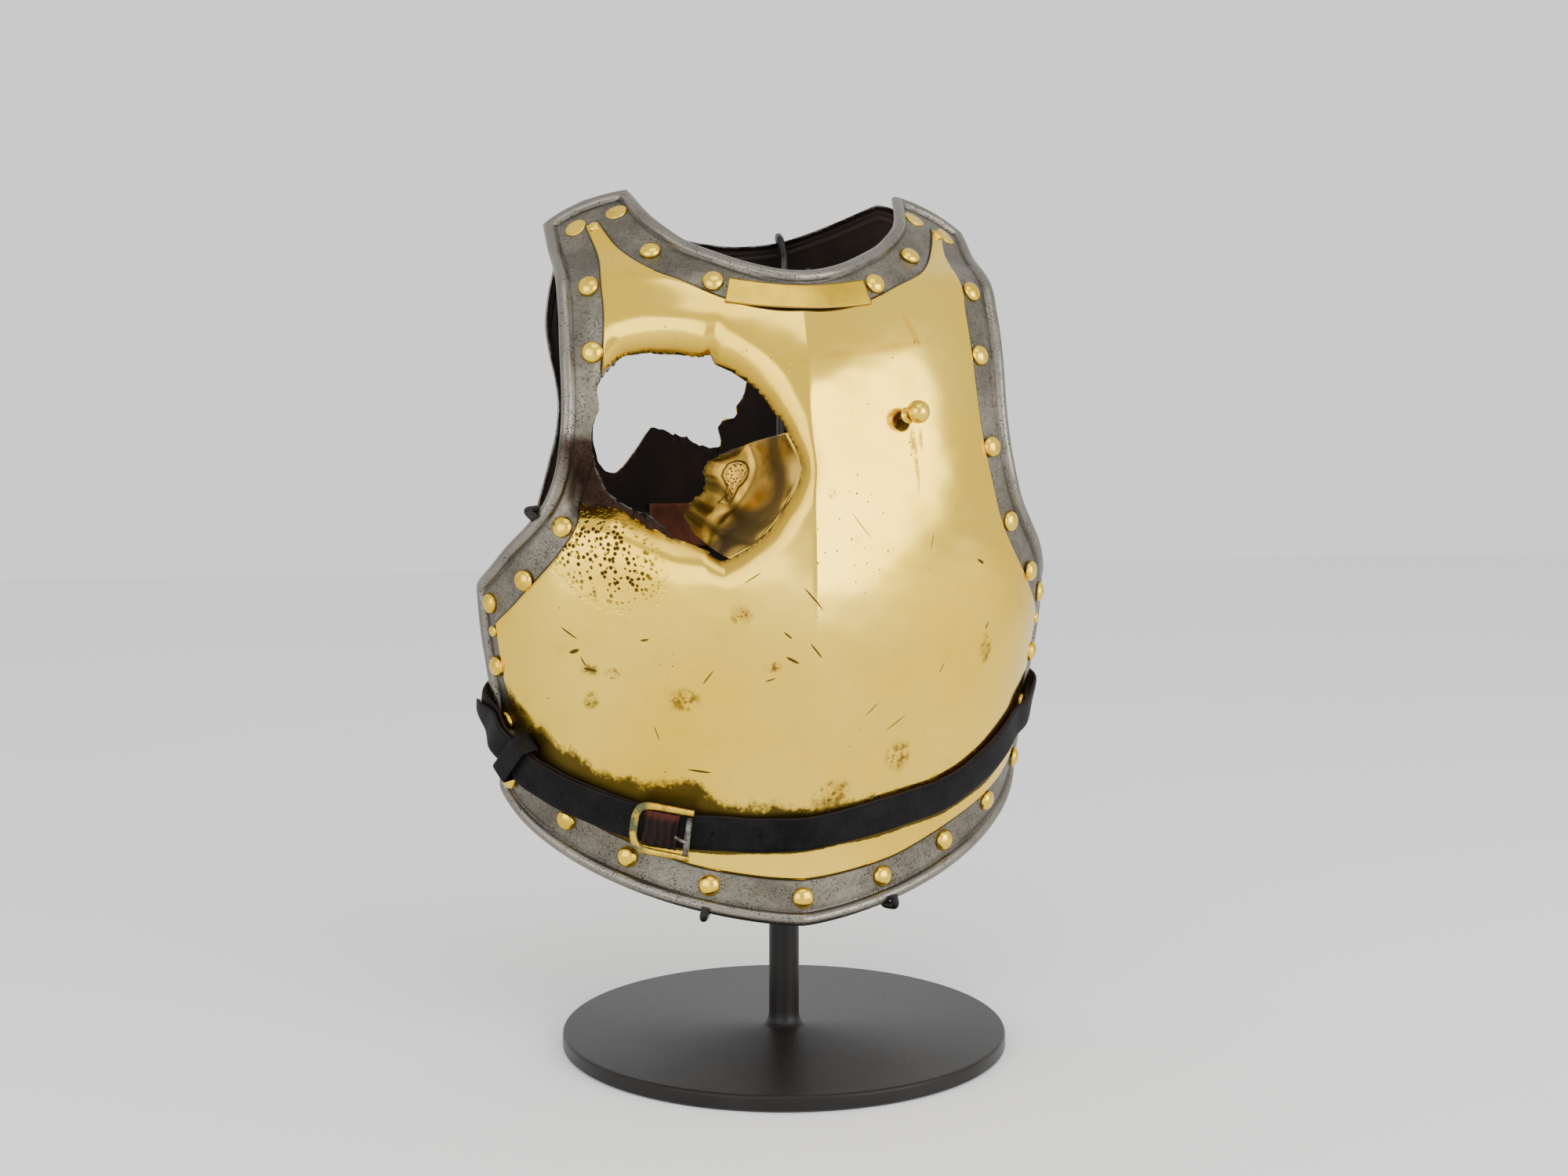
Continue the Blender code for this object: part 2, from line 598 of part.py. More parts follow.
def hole_cutter(name, centre, rows, column, radius, reach, rim=None):
    """A ragged prism along Y. It stays BRASS_MARGIN inside a rim line, where one is given."""
    count = len(rows)
    bearing = np.radians([row[0] for row in rows])
    edge = radius * np.array([row[column] for row in rows])
    if rim is not None:
        edge = np.minimum(edge, reach_to(rim[:, [0, 2]], np.array(centre), bearing) - BRASS_MARGIN)
    ring = [(centre[0] + r * math.cos(b), centre[1] + r * math.sin(b)) for r, b in zip(edge, bearing)]
    vertices = [(x, y, z) for y in reach for x, z in ring]
    faces = [tuple(range(count)), tuple(range(2 * count - 1, count - 1, -1))]
    faces += [(i, (i + 1) % count, (i + 1) % count + count, i + count) for i in range(count)]
    cutter = solid(name, vertices, faces, MATERIALS["steel"])
    cutter.hide_render = True
    cutter.display_type = "WIRE"
    return cutter


def combine(obj, other, operation):
    modifier = obj.modifiers.new(other.name, "BOOLEAN")
    modifier.operation = operation
    modifier.object = other
    modifier.solver = "EXACT"


def tree_of(obj):
    """A search tree over an object's mesh, as it lies in the world."""
    bm = bmesh.new()
    bm.from_mesh(obj.data)
    bm.transform(obj.matrix_basis)
    tree = BVHTree.FromBMesh(bm)
    bm.free()
    return tree


def height_over(points, normal, under, reach=0.03):
    """How far the highest surface under some points stands above each, along the normal."""
    direction = Vector(normal)
    best = -1.0
    for point in points:
        start = Vector(point) + direction * reach
        for tree in under:
            hit = tree.ray_cast(start, -direction, reach * 2)[0]
            if hit is not None:
                best = max(best, (hit - Vector(point)).dot(direction))
    return best


def disc_points(point, normal, radius):
    """The middle of a disc and a ring of points round it."""
    side = unit(np.cross(normal, [0.0, 0.3, 1.0]))
    up = np.cross(normal, side)
    turns = np.arange(16) * math.tau / 16
    ring = np.outer(np.cos(turns), side) + np.outer(np.sin(turns), up)
    return [point] + list(point + radius * ring) + list(point + radius * 0.6 * ring)


def turned(name, profile, sides, material):
    """A round body about its own Z from rows of radius and height; a zero radius is a point."""
    vertices, rings = [], []
    for radius, height in profile:
        count = 1 if radius == 0 else sides
        rings.append(range(len(vertices), len(vertices) + count))
        vertices += [(radius * math.cos(math.tau * k / sides), radius * math.sin(math.tau * k / sides),
                      height) for k in range(count)]
    faces = []
    for low, high in zip(rings, rings[1:]):
        for k in range(sides):
            quad = [low[k % len(low)], low[(k + 1) % len(low)],
                    high[(k + 1) % len(high)], high[k % len(high)]]
            corners = list(dict.fromkeys(quad))
            faces.append(tuple(corners))
    if len(rings[0]) > 1:
        faces.append(tuple(reversed(rings[0])))
    if len(rings[-1]) > 1:
        faces.append(tuple(rings[-1]))
    return solid(name, vertices, faces, material)


def seated(obj, point, normal, radius, under):
    """Stands a body on a surface with its Z along the normal."""
    lift = height_over(disc_points(point, normal, radius), normal, under) + FIT
    obj.rotation_mode = "QUATERNION"
    obj.rotation_quaternion = Vector((0, 0, 1)).rotation_difference(Vector(normal))
    obj.location = Vector(point) + Vector(normal) * lift


def dome_profile(diameter, height):
    r = diameter / 2
    return [(r, 0.0), (r * 0.93, height * 0.42), (r * 0.62, height * 0.84), (0.0, height)]


def rivet_profile(head):
    if head == "flat":
        r, h = SHOULDER_RIVET_DIAMETER / 2, SHOULDER_RIVET_HEIGHT
        return [(r, 0.0), (r, h * 0.5), (r * 0.86, h)]
    if head == "small":
        return dome_profile(SMALL_RIVET_DIAMETER, RIVET_HEIGHT * 0.55)
    return dome_profile(RIVET_DIAMETER, RIVET_HEIGHT)


def rivet_place(plate, edges, edge, share, inset):
    """The place of a rivet: along an edge, then inwards from it."""
    path = edges[edge]
    at = share * (len(path) - 1)
    near = np.stack([np.interp([at - 1, at, at + 1], np.arange(len(path)), path[:, i])
                     for i in (0, 1)], -1)
    return plate.inset(near, inset * BORDER[edge])[1]


def build_rivets(plate, edges, under):
    """Every rivet of the border, right and left, and the one on the middle line below."""
    bases = []
    even = {name: plate.even(path, STEPS["path"] - 1) for name, path in edges.items()}
    sizes = {"dome": RIVET_DIAMETER, "small": SMALL_RIVET_DIAMETER, "flat": SHOULDER_RIVET_DIAMETER}
    for edge, share, inset, head in EDGE_RIVETS:
        place = rivet_place(plate, even, edge, share, inset)
        bases += [(edge, share, head, place * np.array([side, 1])) for side in (-1, 1)
                  if not (side * place[0] < 0 and (edge, share) == LOST_RIVET)]
    bases.append(("bottom", 0.5, "dome", rivet_place(plate, even, "bottom", 0.5, 0.61)))
    rivets = []
    for edge, share, head, place in bases:
        side = "middle" if abs(place[0]) < 1e-3 else ("left" if place[0] > 0 else "right")
        name = f"rivet_{edge}_{side}_{round(share * 100):02d}"
        rivet = turned(name, rivet_profile(head), STEPS["round"], MATERIALS["rivet_brass"])
        seated(rivet, plate.point(place), plate.normal(place), sizes[head] / 2, under)
        rivets.append(rivet)
    return rivets


def build_stud(plate, under):
    """A ball on a short neck, for the end of a shoulder strap."""
    neck, ball = STUD_NECK / 2, STUD_BALL / 2
    middle = STUD_HEIGHT - ball
    profile = [(neck * 1.5, 0.0), (neck * 1.5, 0.0012), (neck, 0.0024)]
    profile += [(ball * math.cos(math.radians(a)), middle + ball * math.sin(math.radians(a)))
                for a in (-60, -30, 0, 30, 60)]
    profile.append((0.0, STUD_HEIGHT))
    stud = turned("chest_stud", profile, 10, MATERIALS["rivet_brass"])
    place = plate.place(*STUD_PLACE)
    seated(stud, plate.point(place), plate.normal(place), neck * 1.5, under)
    return stud


def build_plaque(plate, under):
    """The bare brass plate on the neck border, bent to the breast."""
    u = np.linspace(0, 1, 13)[None, :]
    v = np.linspace(0, 1, 4)[:, None]
    angle = PLAQUE_ANGLES[0] + (PLAQUE_ANGLES[1] - PLAQUE_ANGLES[0]) * u + 0 * v
    sag = (1 - (2 * u - 1) ** 2) * PLAQUE_DROP
    share = PLAQUE_HEIGHTS[0] + (PLAQUE_HEIGHTS[1] - PLAQUE_HEIGHTS[0]) * v - sag
    places = plate.place(angle, share).reshape(-1, 2)
    point, normal = plate.point(places), plate.normal(places)
    lift = max(height_over([p], n, under) for p, n in zip(point, normal)) + FIT
    vertices, faces = two_skins(point, point + normal * (lift + PLAQUE_THICKNESS),
                                point + normal * lift, grid_quads(4, 13), grid_loop(4, 13))
    return solid("plaque", vertices, faces, MATERIALS["plaque"])


def build_flap(plate):
    """The brass tongue, a bent sheet from the torn edge into the body."""
    middle = np.array([HOLE_SIDE, -0.375 * FRONT_DEPTH, RIM_HEIGHT + HOLE_HEIGHT])
    lines = []
    for bearing, mid, end in FLAP:
        edge = HOLE_RADIUS * around(bearing, ENTRY, 1) - FLAP_ROOT_GAP
        across = edge * math.cos(math.radians(bearing))
        up = edge * math.sin(math.radians(bearing))
        root = surface_at(plate, HOLE_SIDE + across, HOLE_HEIGHT + up)
        mid_point = middle + HOLE_RADIUS * np.array([mid[0], mid[2], mid[1]])
        end_point = middle + HOLE_RADIUS * np.array([end[0], end[2], end[1]])
        near = root * 0.8 + mid_point * 0.2
        lines.append([root, near, mid_point, (mid_point + end_point) / 2, end_point])
    points = np.array(lines)
    size = points.shape[:2]
    along, down = np.gradient(points, axis=1), np.gradient(points, axis=0)
    normal = unit(np.cross(along, down))
    normal = (normal * np.where(normal[..., 1:2] > 0, -1, 1)).reshape(-1, 3)
    points = points.reshape(-1, 3)
    vertices, faces = two_skins(points, points, points - normal * BRASS, grid_quads(*size),
                                grid_loop(*size))
    return solid("brass_flap", vertices, faces, MATERIALS["old_brass"])


def surface_at(plate, x, height):
    """The plate's point at a sideways position and a height above its rim."""
    half = curve_through(height / plate.height, plate.rows[:, 0], plate.rows[:, 1])
    angle = math.asin(x / (plate.width / 2 * float(half)))
    return plate.point(np.array([angle, height]))


def build_tag(plate, under):
    """The bare tag stuck inside the backplate."""
    place = plate.place(*TAG_PLACE)
    point, inward = plate.point(place), -plate.normal(place)
    side = unit(np.cross([0.0, 0.0, 1.0], inward))
    up = np.cross(inward, side)
    w, h = side * TAG_WIDTH / 2, up * TAG_HEIGHT / 2
    corners = [point - w - h, point + w - h, point + w + h, point - w + h]
    lift = height_over(corners + [point], inward, under) + FIT
    ring = [c + inward * lift for c in corners]
    vertices = ring + [c + inward * TAG_THICKNESS for c in ring]
    faces = [(0, 1, 2, 3), (7, 6, 5, 4)] + [(i, (i + 1) % 4, (i + 1) % 4 + 4, i + 4)
                                            for i in range(4)]
    return solid("label_tag", vertices, faces, MATERIALS["tag"])


class BeltPath:
    """Stations along the belt: a point, outward and upward directions, and the plate's height."""

    def __init__(self, plates, under):
        places = [plates[name].place(angle, share) for name, angle, share in BELT_LINE]
        shells = [plates[name] for name, _, _ in BELT_LINE]
        self.point = np.array([s.point(q) for s, q in zip(shells, places)])
        normal = np.array([s.normal(q) for s, q in zip(shells, places)])
        along = unit(np.gradient(self.point, axis=0))
        self.out = unit(normal - along * (normal * along).sum(1, keepdims=True))
        self.up = np.cross(along, self.out)
        self.up *= np.sign(self.up[:, 2:3])
        self.along = along
        steps = np.linalg.norm(np.diff(self.point, axis=0), axis=1)
        self.run = np.concatenate([[0], np.cumsum(steps)])
        across = np.linspace(-0.5, 0.5, 9) * BELT_WIDTH
        ahead = np.linspace(-0.7, 0.7, 9) * BELT_WIDTH
        raw = [height_over([p + a * t + u * w for w in across for t in ahead], o, under)
               for p, a, u, o in zip(self.point, self.along, self.up, self.out)]
        raw = np.array(raw) + BELT_CLEAR
        raw[KEEPER_STATION - 1:KEEPER_STATION + 2] += KEEPER_LEATHER + KEEPER_SLACK - 2 * FIT
        slope = np.abs(self.run[:, None] - self.run[None]) * BELT_SLOPE
        self.lift = (raw[None] - slope).max(axis=1)

    def at(self, station, out, up=0.0, along=0.0):
        """A point by a station, above the plate's lift."""
        return (self.point[station] + self.out[station] * (self.lift[station] + out)
                + self.up[station] * up + self.along[station] * along)


def strap(name, path, stations, heights, widths, material):
    """A flat strap through the stations."""
    vertices = []
    for k, height, width in zip(stations, heights, widths):
        vertices += [path.at(k, height + out, up * width / 2)
                     for out, up in ((0, -1), (LEATHER, -1), (LEATHER, 1), (0, 1))]
    last = 4 * (len(vertices) // 4 - 1)
    faces = [(0, 1, 2, 3), (last + 3, last + 2, last + 1, last)]
    for k in range(0, last, 4):
        for i in range(4):
            j = (i + 1) % 4
            faces += [(k + i, k + i + 4, k + j + 4), (k + i, k + j + 4, k + j)]
    return solid(name, vertices, faces, material)


def build_belt(path):
    """Both straps of the belt: the short one below, the punched one over it."""
    material = MATERIALS["leather"]
    short = range(SHORT_STRAP_END + 1)
    strap("belt_short", path, short, [0.0] * len(short), [BELT_WIDTH] * len(short), material)
    over = LEATHER + 2 * FIT
    ramp = {SHORT_STRAP_END + 1: 0.8, SHORT_STRAP_END + 2: 0.4}
    stations = range(TAIL_TIP, len(BELT_LINE))
    heights = [over if k <= SHORT_STRAP_END else over * ramp.get(k, 0.0) for k in stations]
    widths = [BELT_WIDTH * (TAIL_TIP_WIDTH if k == TAIL_TIP else 1.0) for k in stations]
    strap("belt_long", path, stations, heights, widths, material)
    for k, name in ((1, "belt_rivet_right"), (len(BELT_LINE) - 2, "belt_rivet_left")):
        rivet = turned(name, dome_profile(BELT_RIVET_DIAMETER, 0.0022), STEPS["round"],
                       MATERIALS["rivet_brass"])
        rivet.rotation_mode = "QUATERNION"
        rivet.rotation_quaternion = Vector((0, 0, 1)).rotation_difference(Vector(path.out[k]))
        rivet.location = path.at(k, LEATHER + FIT)


def box_ring(name, path, station, inner, outer, length, material):
    """A rectangular loop round the belt. Its sizes are a low and high height and a half width."""
    vertices = []
    for along in (-length / 2, length / 2):
        for low, high, half in (inner, outer):
            vertices += [path.at(station, out, up, along)
                         for out, up in ((low, -half), (high, -half), (high, half), (low, half))]
    faces = []
    for i in range(4):
        j = (i + 1) % 4
        faces += [(i, j, j + 4, i + 4), (i + 8, i + 12, j + 12, j + 8),
                  (i, i + 8, j + 8, j), (i + 4, j + 4, j + 12, i + 12)]
    return solid(name, vertices, faces, material)


def build_keeper(path):
    """The leather loop that holds the tail down."""
    stack = 2 * LEATHER + 2 * FIT
    slack = KEEPER_SLACK
    inner = (-slack, stack + 2 * slack, BELT_WIDTH / 2 + 2 * slack)
    wall = KEEPER_LEATHER
    outer = (inner[0] - wall, inner[1] + wall, inner[2] + wall)
    box_ring("belt_keeper", path, KEEPER_STATION, inner, outer, KEEPER_WIDTH, MATERIALS["leather"])


def build_buckle(path):
    """The brass frame, its steel bar and tongue, and the leather that fills it."""
    k = BUCKLE_STATION
    centre, out = path.at(k, 0.0), path.out[k]
    stack = 2 * LEATHER + 2 * FIT
    near = range(k - 3, k + 3)
    rise = max((path.at(j, stack) - centre).dot(out) for j in near) + FIT
    half_l, half_h, bar = BUCKLE_LENGTH / 2, BUCKLE_HEIGHT / 2, BUCKLE_BAR
    open_end = half_l - 0.5 * bar
    # The frame's outline, from the top of its open end round the bowed side to the bottom
    outer = [(half_l, half_h), (-0.70 * half_l, half_h), (-0.92 * half_l, 0.55 * half_h),
             (-half_l, 0.0), (-0.92 * half_l, -0.55 * half_h), (-0.70 * half_l, -half_h),
             (half_l, -half_h)]
    inner = [(half_l, half_h - bar), (-0.70 * half_l + 0.5 * bar, half_h - bar),
             (-0.92 * half_l + bar, 0.45 * half_h), (-half_l + bar, 0.0),
             (-0.92 * half_l + bar, -0.45 * half_h), (-0.70 * half_l + 0.5 * bar, bar - half_h),
             (half_l, bar - half_h)]

    def lifted(points, height):
        return [centre + out * (rise + height) + path.along[k] * x + path.up[k] * z
                for x, z in points]

    n = len(outer)
    thick = BUCKLE_THICKNESS
    vertices = (lifted(outer, 0) + lifted(inner, 0) + lifted(outer, thick) + lifted(inner, thick))
    faces = [(0, n, 3 * n, 2 * n), (n - 1, 3 * n - 1, 4 * n - 1, 2 * n - 1)]
    for i in range(n - 1):
        faces += [(i, i + 1, n + i + 1, n + i), (2 * n + i, 3 * n + i, 3 * n + i + 1, 2 * n + i + 1),
                  (i, 2 * n + i, 2 * n + i + 1, i + 1),
                  (n + i, n + i + 1, 3 * n + i + 1, 3 * n + i)]
    solid("belt_buckle", vertices, faces, MATERIALS["buckle_brass"])

    bar_half = half_h - bar - FIT
    middle = centre + out * (rise + thick / 2) + path.along[k] * (open_end)
    axis = path.up[k]
    rod("buckle_bar", middle - axis * bar_half, middle + axis * bar_half, bar / 2 * 0.98,
        MATERIALS["buckle_steel"])
    top = rise + thick / 2 + bar / 2 + FIT + 0.0013
    tip = centre + out * top + path.along[k] * (open_end + 0.6 * bar) - path.up[k] * 0.15 * half_h
    heel = centre + out * (top + 0.0002) + path.along[k] * (open_end - 1.5 * bar)
    heel = heel - path.up[k] * 0.02 * half_h
    rod("buckle_tongue", heel, tip, 0.0013, MATERIALS["buckle_steel"])

    fill_l, fill_h = (half_l - bar) * 0.86, half_h - bar - 4 * FIT
    rows = 5
    step = np.linspace(-1, 1, rows)
    low, high = [], []
    for v in step:
        for u in step:
            x = u * fill_l * 0.86 - 0.02 * half_l
            place = centre + path.along[k] * x + path.up[k] * v * fill_h
            low.append(place + out * rise)
            high.append(place + out * (rise + thick * (0.35 + 0.45 * (1 - u * u) * (1 - v * v))))
    high, low = np.array(high), np.array(low)
    vertices, faces = two_skins(high, high, low, grid_quads(rows, rows), grid_loop(rows, rows))
    solid("buckle_leather", vertices, faces, MATERIALS["worn_leather"])


def rod(name, start, end, radius, material, sides=STEPS["round"]):
    return tube(name, [start, end], radius, material, sides)


def tube(name, points, radius, material, sides=STEPS["round"]):
    """A round bar through the points, mitred at its bends."""
    points = np.array(points, float)
    ahead = unit(np.diff(points, axis=0))
    first, second = np.vstack([ahead[:1], ahead]), np.vstack([ahead, ahead[-1:]])
    side = unit(np.cross(first[0], [0.31, 0.17, 0.93]))
    turns = np.arange(sides) * math.tau / sides
    vertices = []
    for point, before, after in zip(points, first, second):
        bisector = unit(before + after)
        side = unit(side - before * side.dot(before))
        other = np.cross(before, side)
        ring = radius * (np.outer(np.cos(turns), side) + np.outer(np.sin(turns), other))
        ring -= np.outer(ring @ bisector / (before @ bisector), before)
        vertices += list(point + ring)
        side = side - after * side.dot(after)
    last = sides * (len(points) - 1)
    faces = [tuple(range(sides)), tuple(range(last + sides - 1, last - 1, -1))]
    for k in range(0, last, sides):
        for i in range(sides):
            j = (i + 1) % sides
            faces.append((k + i, k + i + sides, k + j + sides, k + j))
    return solid(name, vertices, faces, material)


def clip_points(plate, path, share, wall, slack):
    """A hook round a plate's edge: from inside the plate, round the bead, up its outer face."""
    at = share * (len(path) - 1)
    near = np.stack([np.interp([at - 1, at, at + 1], np.arange(len(path)), path[:, i])
                     for i in (0, 1)], -1)
    point, normal = plate.point(near[1]), plate.normal(near[1])
    inward = unit(plate.point(plate.inset(near, BEAD_WIDTH)[1]) - point)
    reach = CLIP_DIAMETER / 2 + slack
    back, front = -(wall + reach), BEAD_HEIGHT + reach
    return [point + normal * back * 2 + inward * BEAD_WIDTH, point + normal * back - inward * reach,
            point + normal * front - inward * reach, point + normal * front + inward * BEAD_WIDTH / 2]


def build_stand(front, back, front_edges, back_edges):
    """Foot, post and spine, with an arm to each clip, united into one body."""
    material = MATERIALS["stand"]
    r, post = FOOT_RADIUS, POST_DIAMETER / 2
    spine = SPINE_DIAMETER / 2
    profile = [(r, 0.0), (r, FOOT_THICKNESS * 0.8), (r * 0.985, FOOT_THICKNESS),
               (post, FOOT_THICKNESS), (post, POST_HEIGHT), (spine, POST_HEIGHT + post),
               (spine, SPINE_HEIGHT)]
    stand = turned("stand", profile, 24, material)
    front_even = {name: front.even(path, STEPS["path"] - 1) for name, path in front_edges.items()}
    back_neck = back.even(back_edges["neck"], STEPS["path"] - 1)
    left_arm = mirrored(front_even["arm"])
    edges = {"bottom": (front, front_even["bottom"]), "arm": (front, left_arm),
             "neck": (front, front_even["neck"]), "collar": (back, back_neck)}
    for name, edge, share, height, slack, whole in CLIPS:
        plate, path = edges[edge]
        wall = FRONT_STEEL if plate is front else BACK_STEEL
        points = clip_points(plate, path, share, wall, slack)
        if not whole:
            points = points[:2]
        root = np.array([0.0, 0.0, height])
        arm = tube("arm_" + name, [root] + points, CLIP_DIAMETER / 2, material)
        arm.hide_render = True
        arm.display_type = "WIRE"
        combine(stand, arm, "UNION")
    return stand


def make_material(name, colour, roughness, metallic):
    material = bpy.data.materials.new(name)
    material.use_nodes = True
    shader = material.node_tree.nodes["Principled BSDF"]
    shader.inputs["Base Color"].default_value = (*colour, 1.0)
    shader.inputs["Roughness"].default_value = roughness
    shader.inputs["Metallic"].default_value = metallic
    return material


FINISHES = [
    # name, colour, roughness, metallic
    ("steel", (0.33, 0.32, 0.31), 0.42, 1.0),
    ("brass", (0.84, 0.66, 0.28), 0.16, 1.0),
    ("rivet_brass", (0.80, 0.60, 0.22), 0.20, 1.0),
    ("old_brass", (0.45, 0.30, 0.10), 0.40, 1.0),
    ("plaque", (0.72, 0.50, 0.18), 0.30, 1.0),
    ("buckle_brass", (0.66, 0.46, 0.16), 0.30, 1.0),
    ("buckle_steel", (0.40, 0.39, 0.38), 0.35, 1.0),
    ("leather", (0.015, 0.014, 0.015), 0.55, 0.0),
    ("worn_leather", (0.030, 0.012, 0.010), 0.60, 0.0),
    ("tag", (0.16, 0.050, 0.025), 0.80, 0.0),
    ("stand", (0.020, 0.016, 0.014), 0.45, 0.0),
]
MATERIALS = {}


def main():
    for obj in list(bpy.data.objects):
        bpy.data.objects.remove(obj)
    MATERIALS.update({row[0]: make_material(*row) for row in FINISHES})

    front = Plate(FRONT_SECTIONS, (BODY_WIDTH, PLATE_HEIGHT, FRONT_DEPTH), -1, RIM_HEIGHT, True)
    back = Plate(BACK_SECTIONS, (BACK_WIDTH, BACK_HEIGHT, BACK_DEPTH), 1, BACK_RIM_HEIGHT, False)
    front_edges = outline(front, FRONT_SIDE_ANGLE, FRONT_SIDE, FRONT_ARM, FRONT_NECK)
    back_edges = outline(back, BACK_SIDE_ANGLE, BACK_SIDE, BACK_ARM, BACK_NECK)
    front_layout = Layout(front, front_edges, BORDER, BORDER_SHAPE, FRONT_COUNTS)
    back_layout = Layout(back, back_edges, BACK_BORDER, PLAIN_SHAPE, BACK_COUNTS)

    count = len(front_layout.loop)
    front_steel = steel_plate("breastplate_steel", front_layout, FRONT_STEEL,
                              np.full(count, BEAD_HEIGHT), MATERIALS["steel"])
    front_brass = brass_facing("breastplate_brass", front_layout, MATERIALS["brass"])
    # The backplate's flanks slide inside the breastplate, so they have no bead
    angles = np.degrees(np.abs(back_layout.loop[:, 0]))
    back_bead = np.where(angles > 0.85 * BACK_SIDE_ANGLE, 0.0, BEAD_HEIGHT)
    back_steel = steel_plate("backplate_steel", back_layout, BACK_STEEL, back_bead,
                             MATERIALS["steel"])
    back_brass = brass_facing("backplate_brass", back_layout, MATERIALS["brass"])

    under = [tree_of(front_steel), tree_of(front_brass)]
    rivets = build_rivets(front, front_edges, under)
    build_stud(front, under)
    build_plaque(front, under)
    build_flap(front)
    build_tag(back, [tree_of(back_steel)])
    everything = under + [tree_of(back_steel), tree_of(back_brass)] + [tree_of(r) for r in rivets]
    path = BeltPath({"front": front, "back": back}, everything)
    build_belt(path)
    build_keeper(path)
    build_buckle(path)
    build_stand(front, back, front_edges, back_edges)

    entry = (HOLE_SIDE, RIM_HEIGHT + HOLE_HEIGHT)
    front_reach = (-1.5 * FRONT_DEPTH, 0.4 * FRONT_DEPTH)
    for obj, column in ((front_brass, 1), (front_steel, 2)):
        combine(obj, hole_cutter("entry_" + obj.name, entry, ENTRY, column, HOLE_RADIUS,
                                 front_reach), "DIFFERENCE")
    exit_centre = (EXIT_SIDE, BACK_RIM_HEIGHT + EXIT_HEIGHT)
    back_reach = (0.4 * BACK_DEPTH, 1.6 * BACK_DEPTH)
    back_rim = back.point(back_layout.grid.reshape(-1, 2)[back_layout.rim])
    for obj, rim in ((back_steel, None), (back_brass, back_rim)):
        combine(obj, hole_cutter("exit_" + obj.name, exit_centre, EXIT, 1, EXIT_RADIUS, back_reach,
                                 rim), "DIFFERENCE")


main()
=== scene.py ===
# %% [markdown]
# # A holed cuirass, dressed from its frame
# A cuirass is a breastplate and a backplate of steel, here faced with thin brass and edged by a
# rolled bead. The imported model gives the solids. This script lays finer surfaces over them. Each
# surface is worked out with numpy, because a formula over a grid gives smooth metal whose dents,
# beads and torn edges can be set one by one.

# %% Load the frame
import math
from functools import reduce

import bpy
import numpy as np
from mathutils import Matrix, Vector
from mathutils.bvhtree import BVHTree


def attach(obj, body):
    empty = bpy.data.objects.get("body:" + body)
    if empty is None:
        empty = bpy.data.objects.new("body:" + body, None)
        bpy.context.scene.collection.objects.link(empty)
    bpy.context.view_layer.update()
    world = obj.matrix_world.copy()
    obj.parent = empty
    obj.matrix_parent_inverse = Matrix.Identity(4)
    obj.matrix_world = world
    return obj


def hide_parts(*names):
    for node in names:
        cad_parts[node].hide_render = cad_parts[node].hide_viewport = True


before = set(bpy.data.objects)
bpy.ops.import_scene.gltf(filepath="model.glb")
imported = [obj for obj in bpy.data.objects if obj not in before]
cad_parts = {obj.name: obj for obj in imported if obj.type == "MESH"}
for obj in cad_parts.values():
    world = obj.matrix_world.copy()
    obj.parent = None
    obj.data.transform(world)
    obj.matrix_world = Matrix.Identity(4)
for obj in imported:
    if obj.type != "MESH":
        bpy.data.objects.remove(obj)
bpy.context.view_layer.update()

# %% [markdown]
# ## Camera
# The photograph was taken a little from the wearer's right and a little from above. The camera
# stands there, and its lens gives the whole picture without any shift.

# %% Place the camera at the photograph's angle
AZIMUTH, ELEVATION, DISTANCE = math.radians(-14.0), math.radians(4.78), 1.264
AIM = Vector((0.0, 0.0, 0.2878))
camera_data = bpy.data.cameras.new("camera")
camera_data.lens = 46.44
camera_data.sensor_width = 36.0
camera = bpy.data.objects.new("camera", camera_data)
bpy.context.scene.collection.objects.link(camera)
camera.location = AIM + DISTANCE * Vector((math.sin(AZIMUTH) * math.cos(ELEVATION),
                                           -math.cos(AZIMUTH) * math.cos(ELEVATION),
                                           math.sin(ELEVATION)))
camera.rotation_euler = (AIM - camera.location).to_track_quat("-Z", "Y").to_euler()
bpy.context.scene.camera = camera
print("camera at", tuple(round(v, 3) for v in camera.location))

# %% [markdown]
# ## Sizes
# The plates, the holes and the belt have the sizes of the solids, so that the fine surfaces lie on
# them. Lengths are in metres. Heights, half widths and depths are shares, as a maker's template
# would give them.

# %% Sizes of the plates, holes and belt
WIDTH, HEIGHT, DEPTH, RIM = 0.372, 0.455, 0.120, 0.085
BACK_WIDTH, BACK_HEIGHT, BACK_DEPTH, BACK_RIM = 0.360, 0.412, 0.135, 0.129
FRONT_STEEL, BACK_STEEL, BRASS, FIT = 0.0028, 0.0015, 0.0009, 0.0003
BEAD_WIDTH, BEAD_HEIGHT = 0.0080, 0.0038
BORDER = {"bottom": 0.028, "side": 0.019, "arm": 0.027, "top": 0.027, "neck": 0.029}
BACK_BORDER = {"bottom": 0.026, "side": 0.024, "arm": 0.020, "top": 0.022, "neck": 0.018}
BORDER_SHAPE = {
    "bottom": (1.12, 1.04, 0.93, 1.00, 0.93, 1.04, 1.12),
    "side": (1.00, 1.00),
    "arm": (1.12, 1.08, 0.89, 0.94, 1.05, 1.03, 1.00),
    "top": (1.00, 1.00),
    "neck": (0.96, 1.00, 1.13, 1.06, 0.97, 1.06, 1.13, 1.00, 0.96),
}
PLAIN_SHAPE = {name: (1.0, 1.0) for name in BACK_BORDER}
HOLE_RADIUS, HOLE_X, HOLE_Z = 0.062, -0.065, RIM + 0.287
EXIT_RADIUS, EXIT_X, EXIT_Z = 0.060, -0.047, BACK_RIM + 0.293
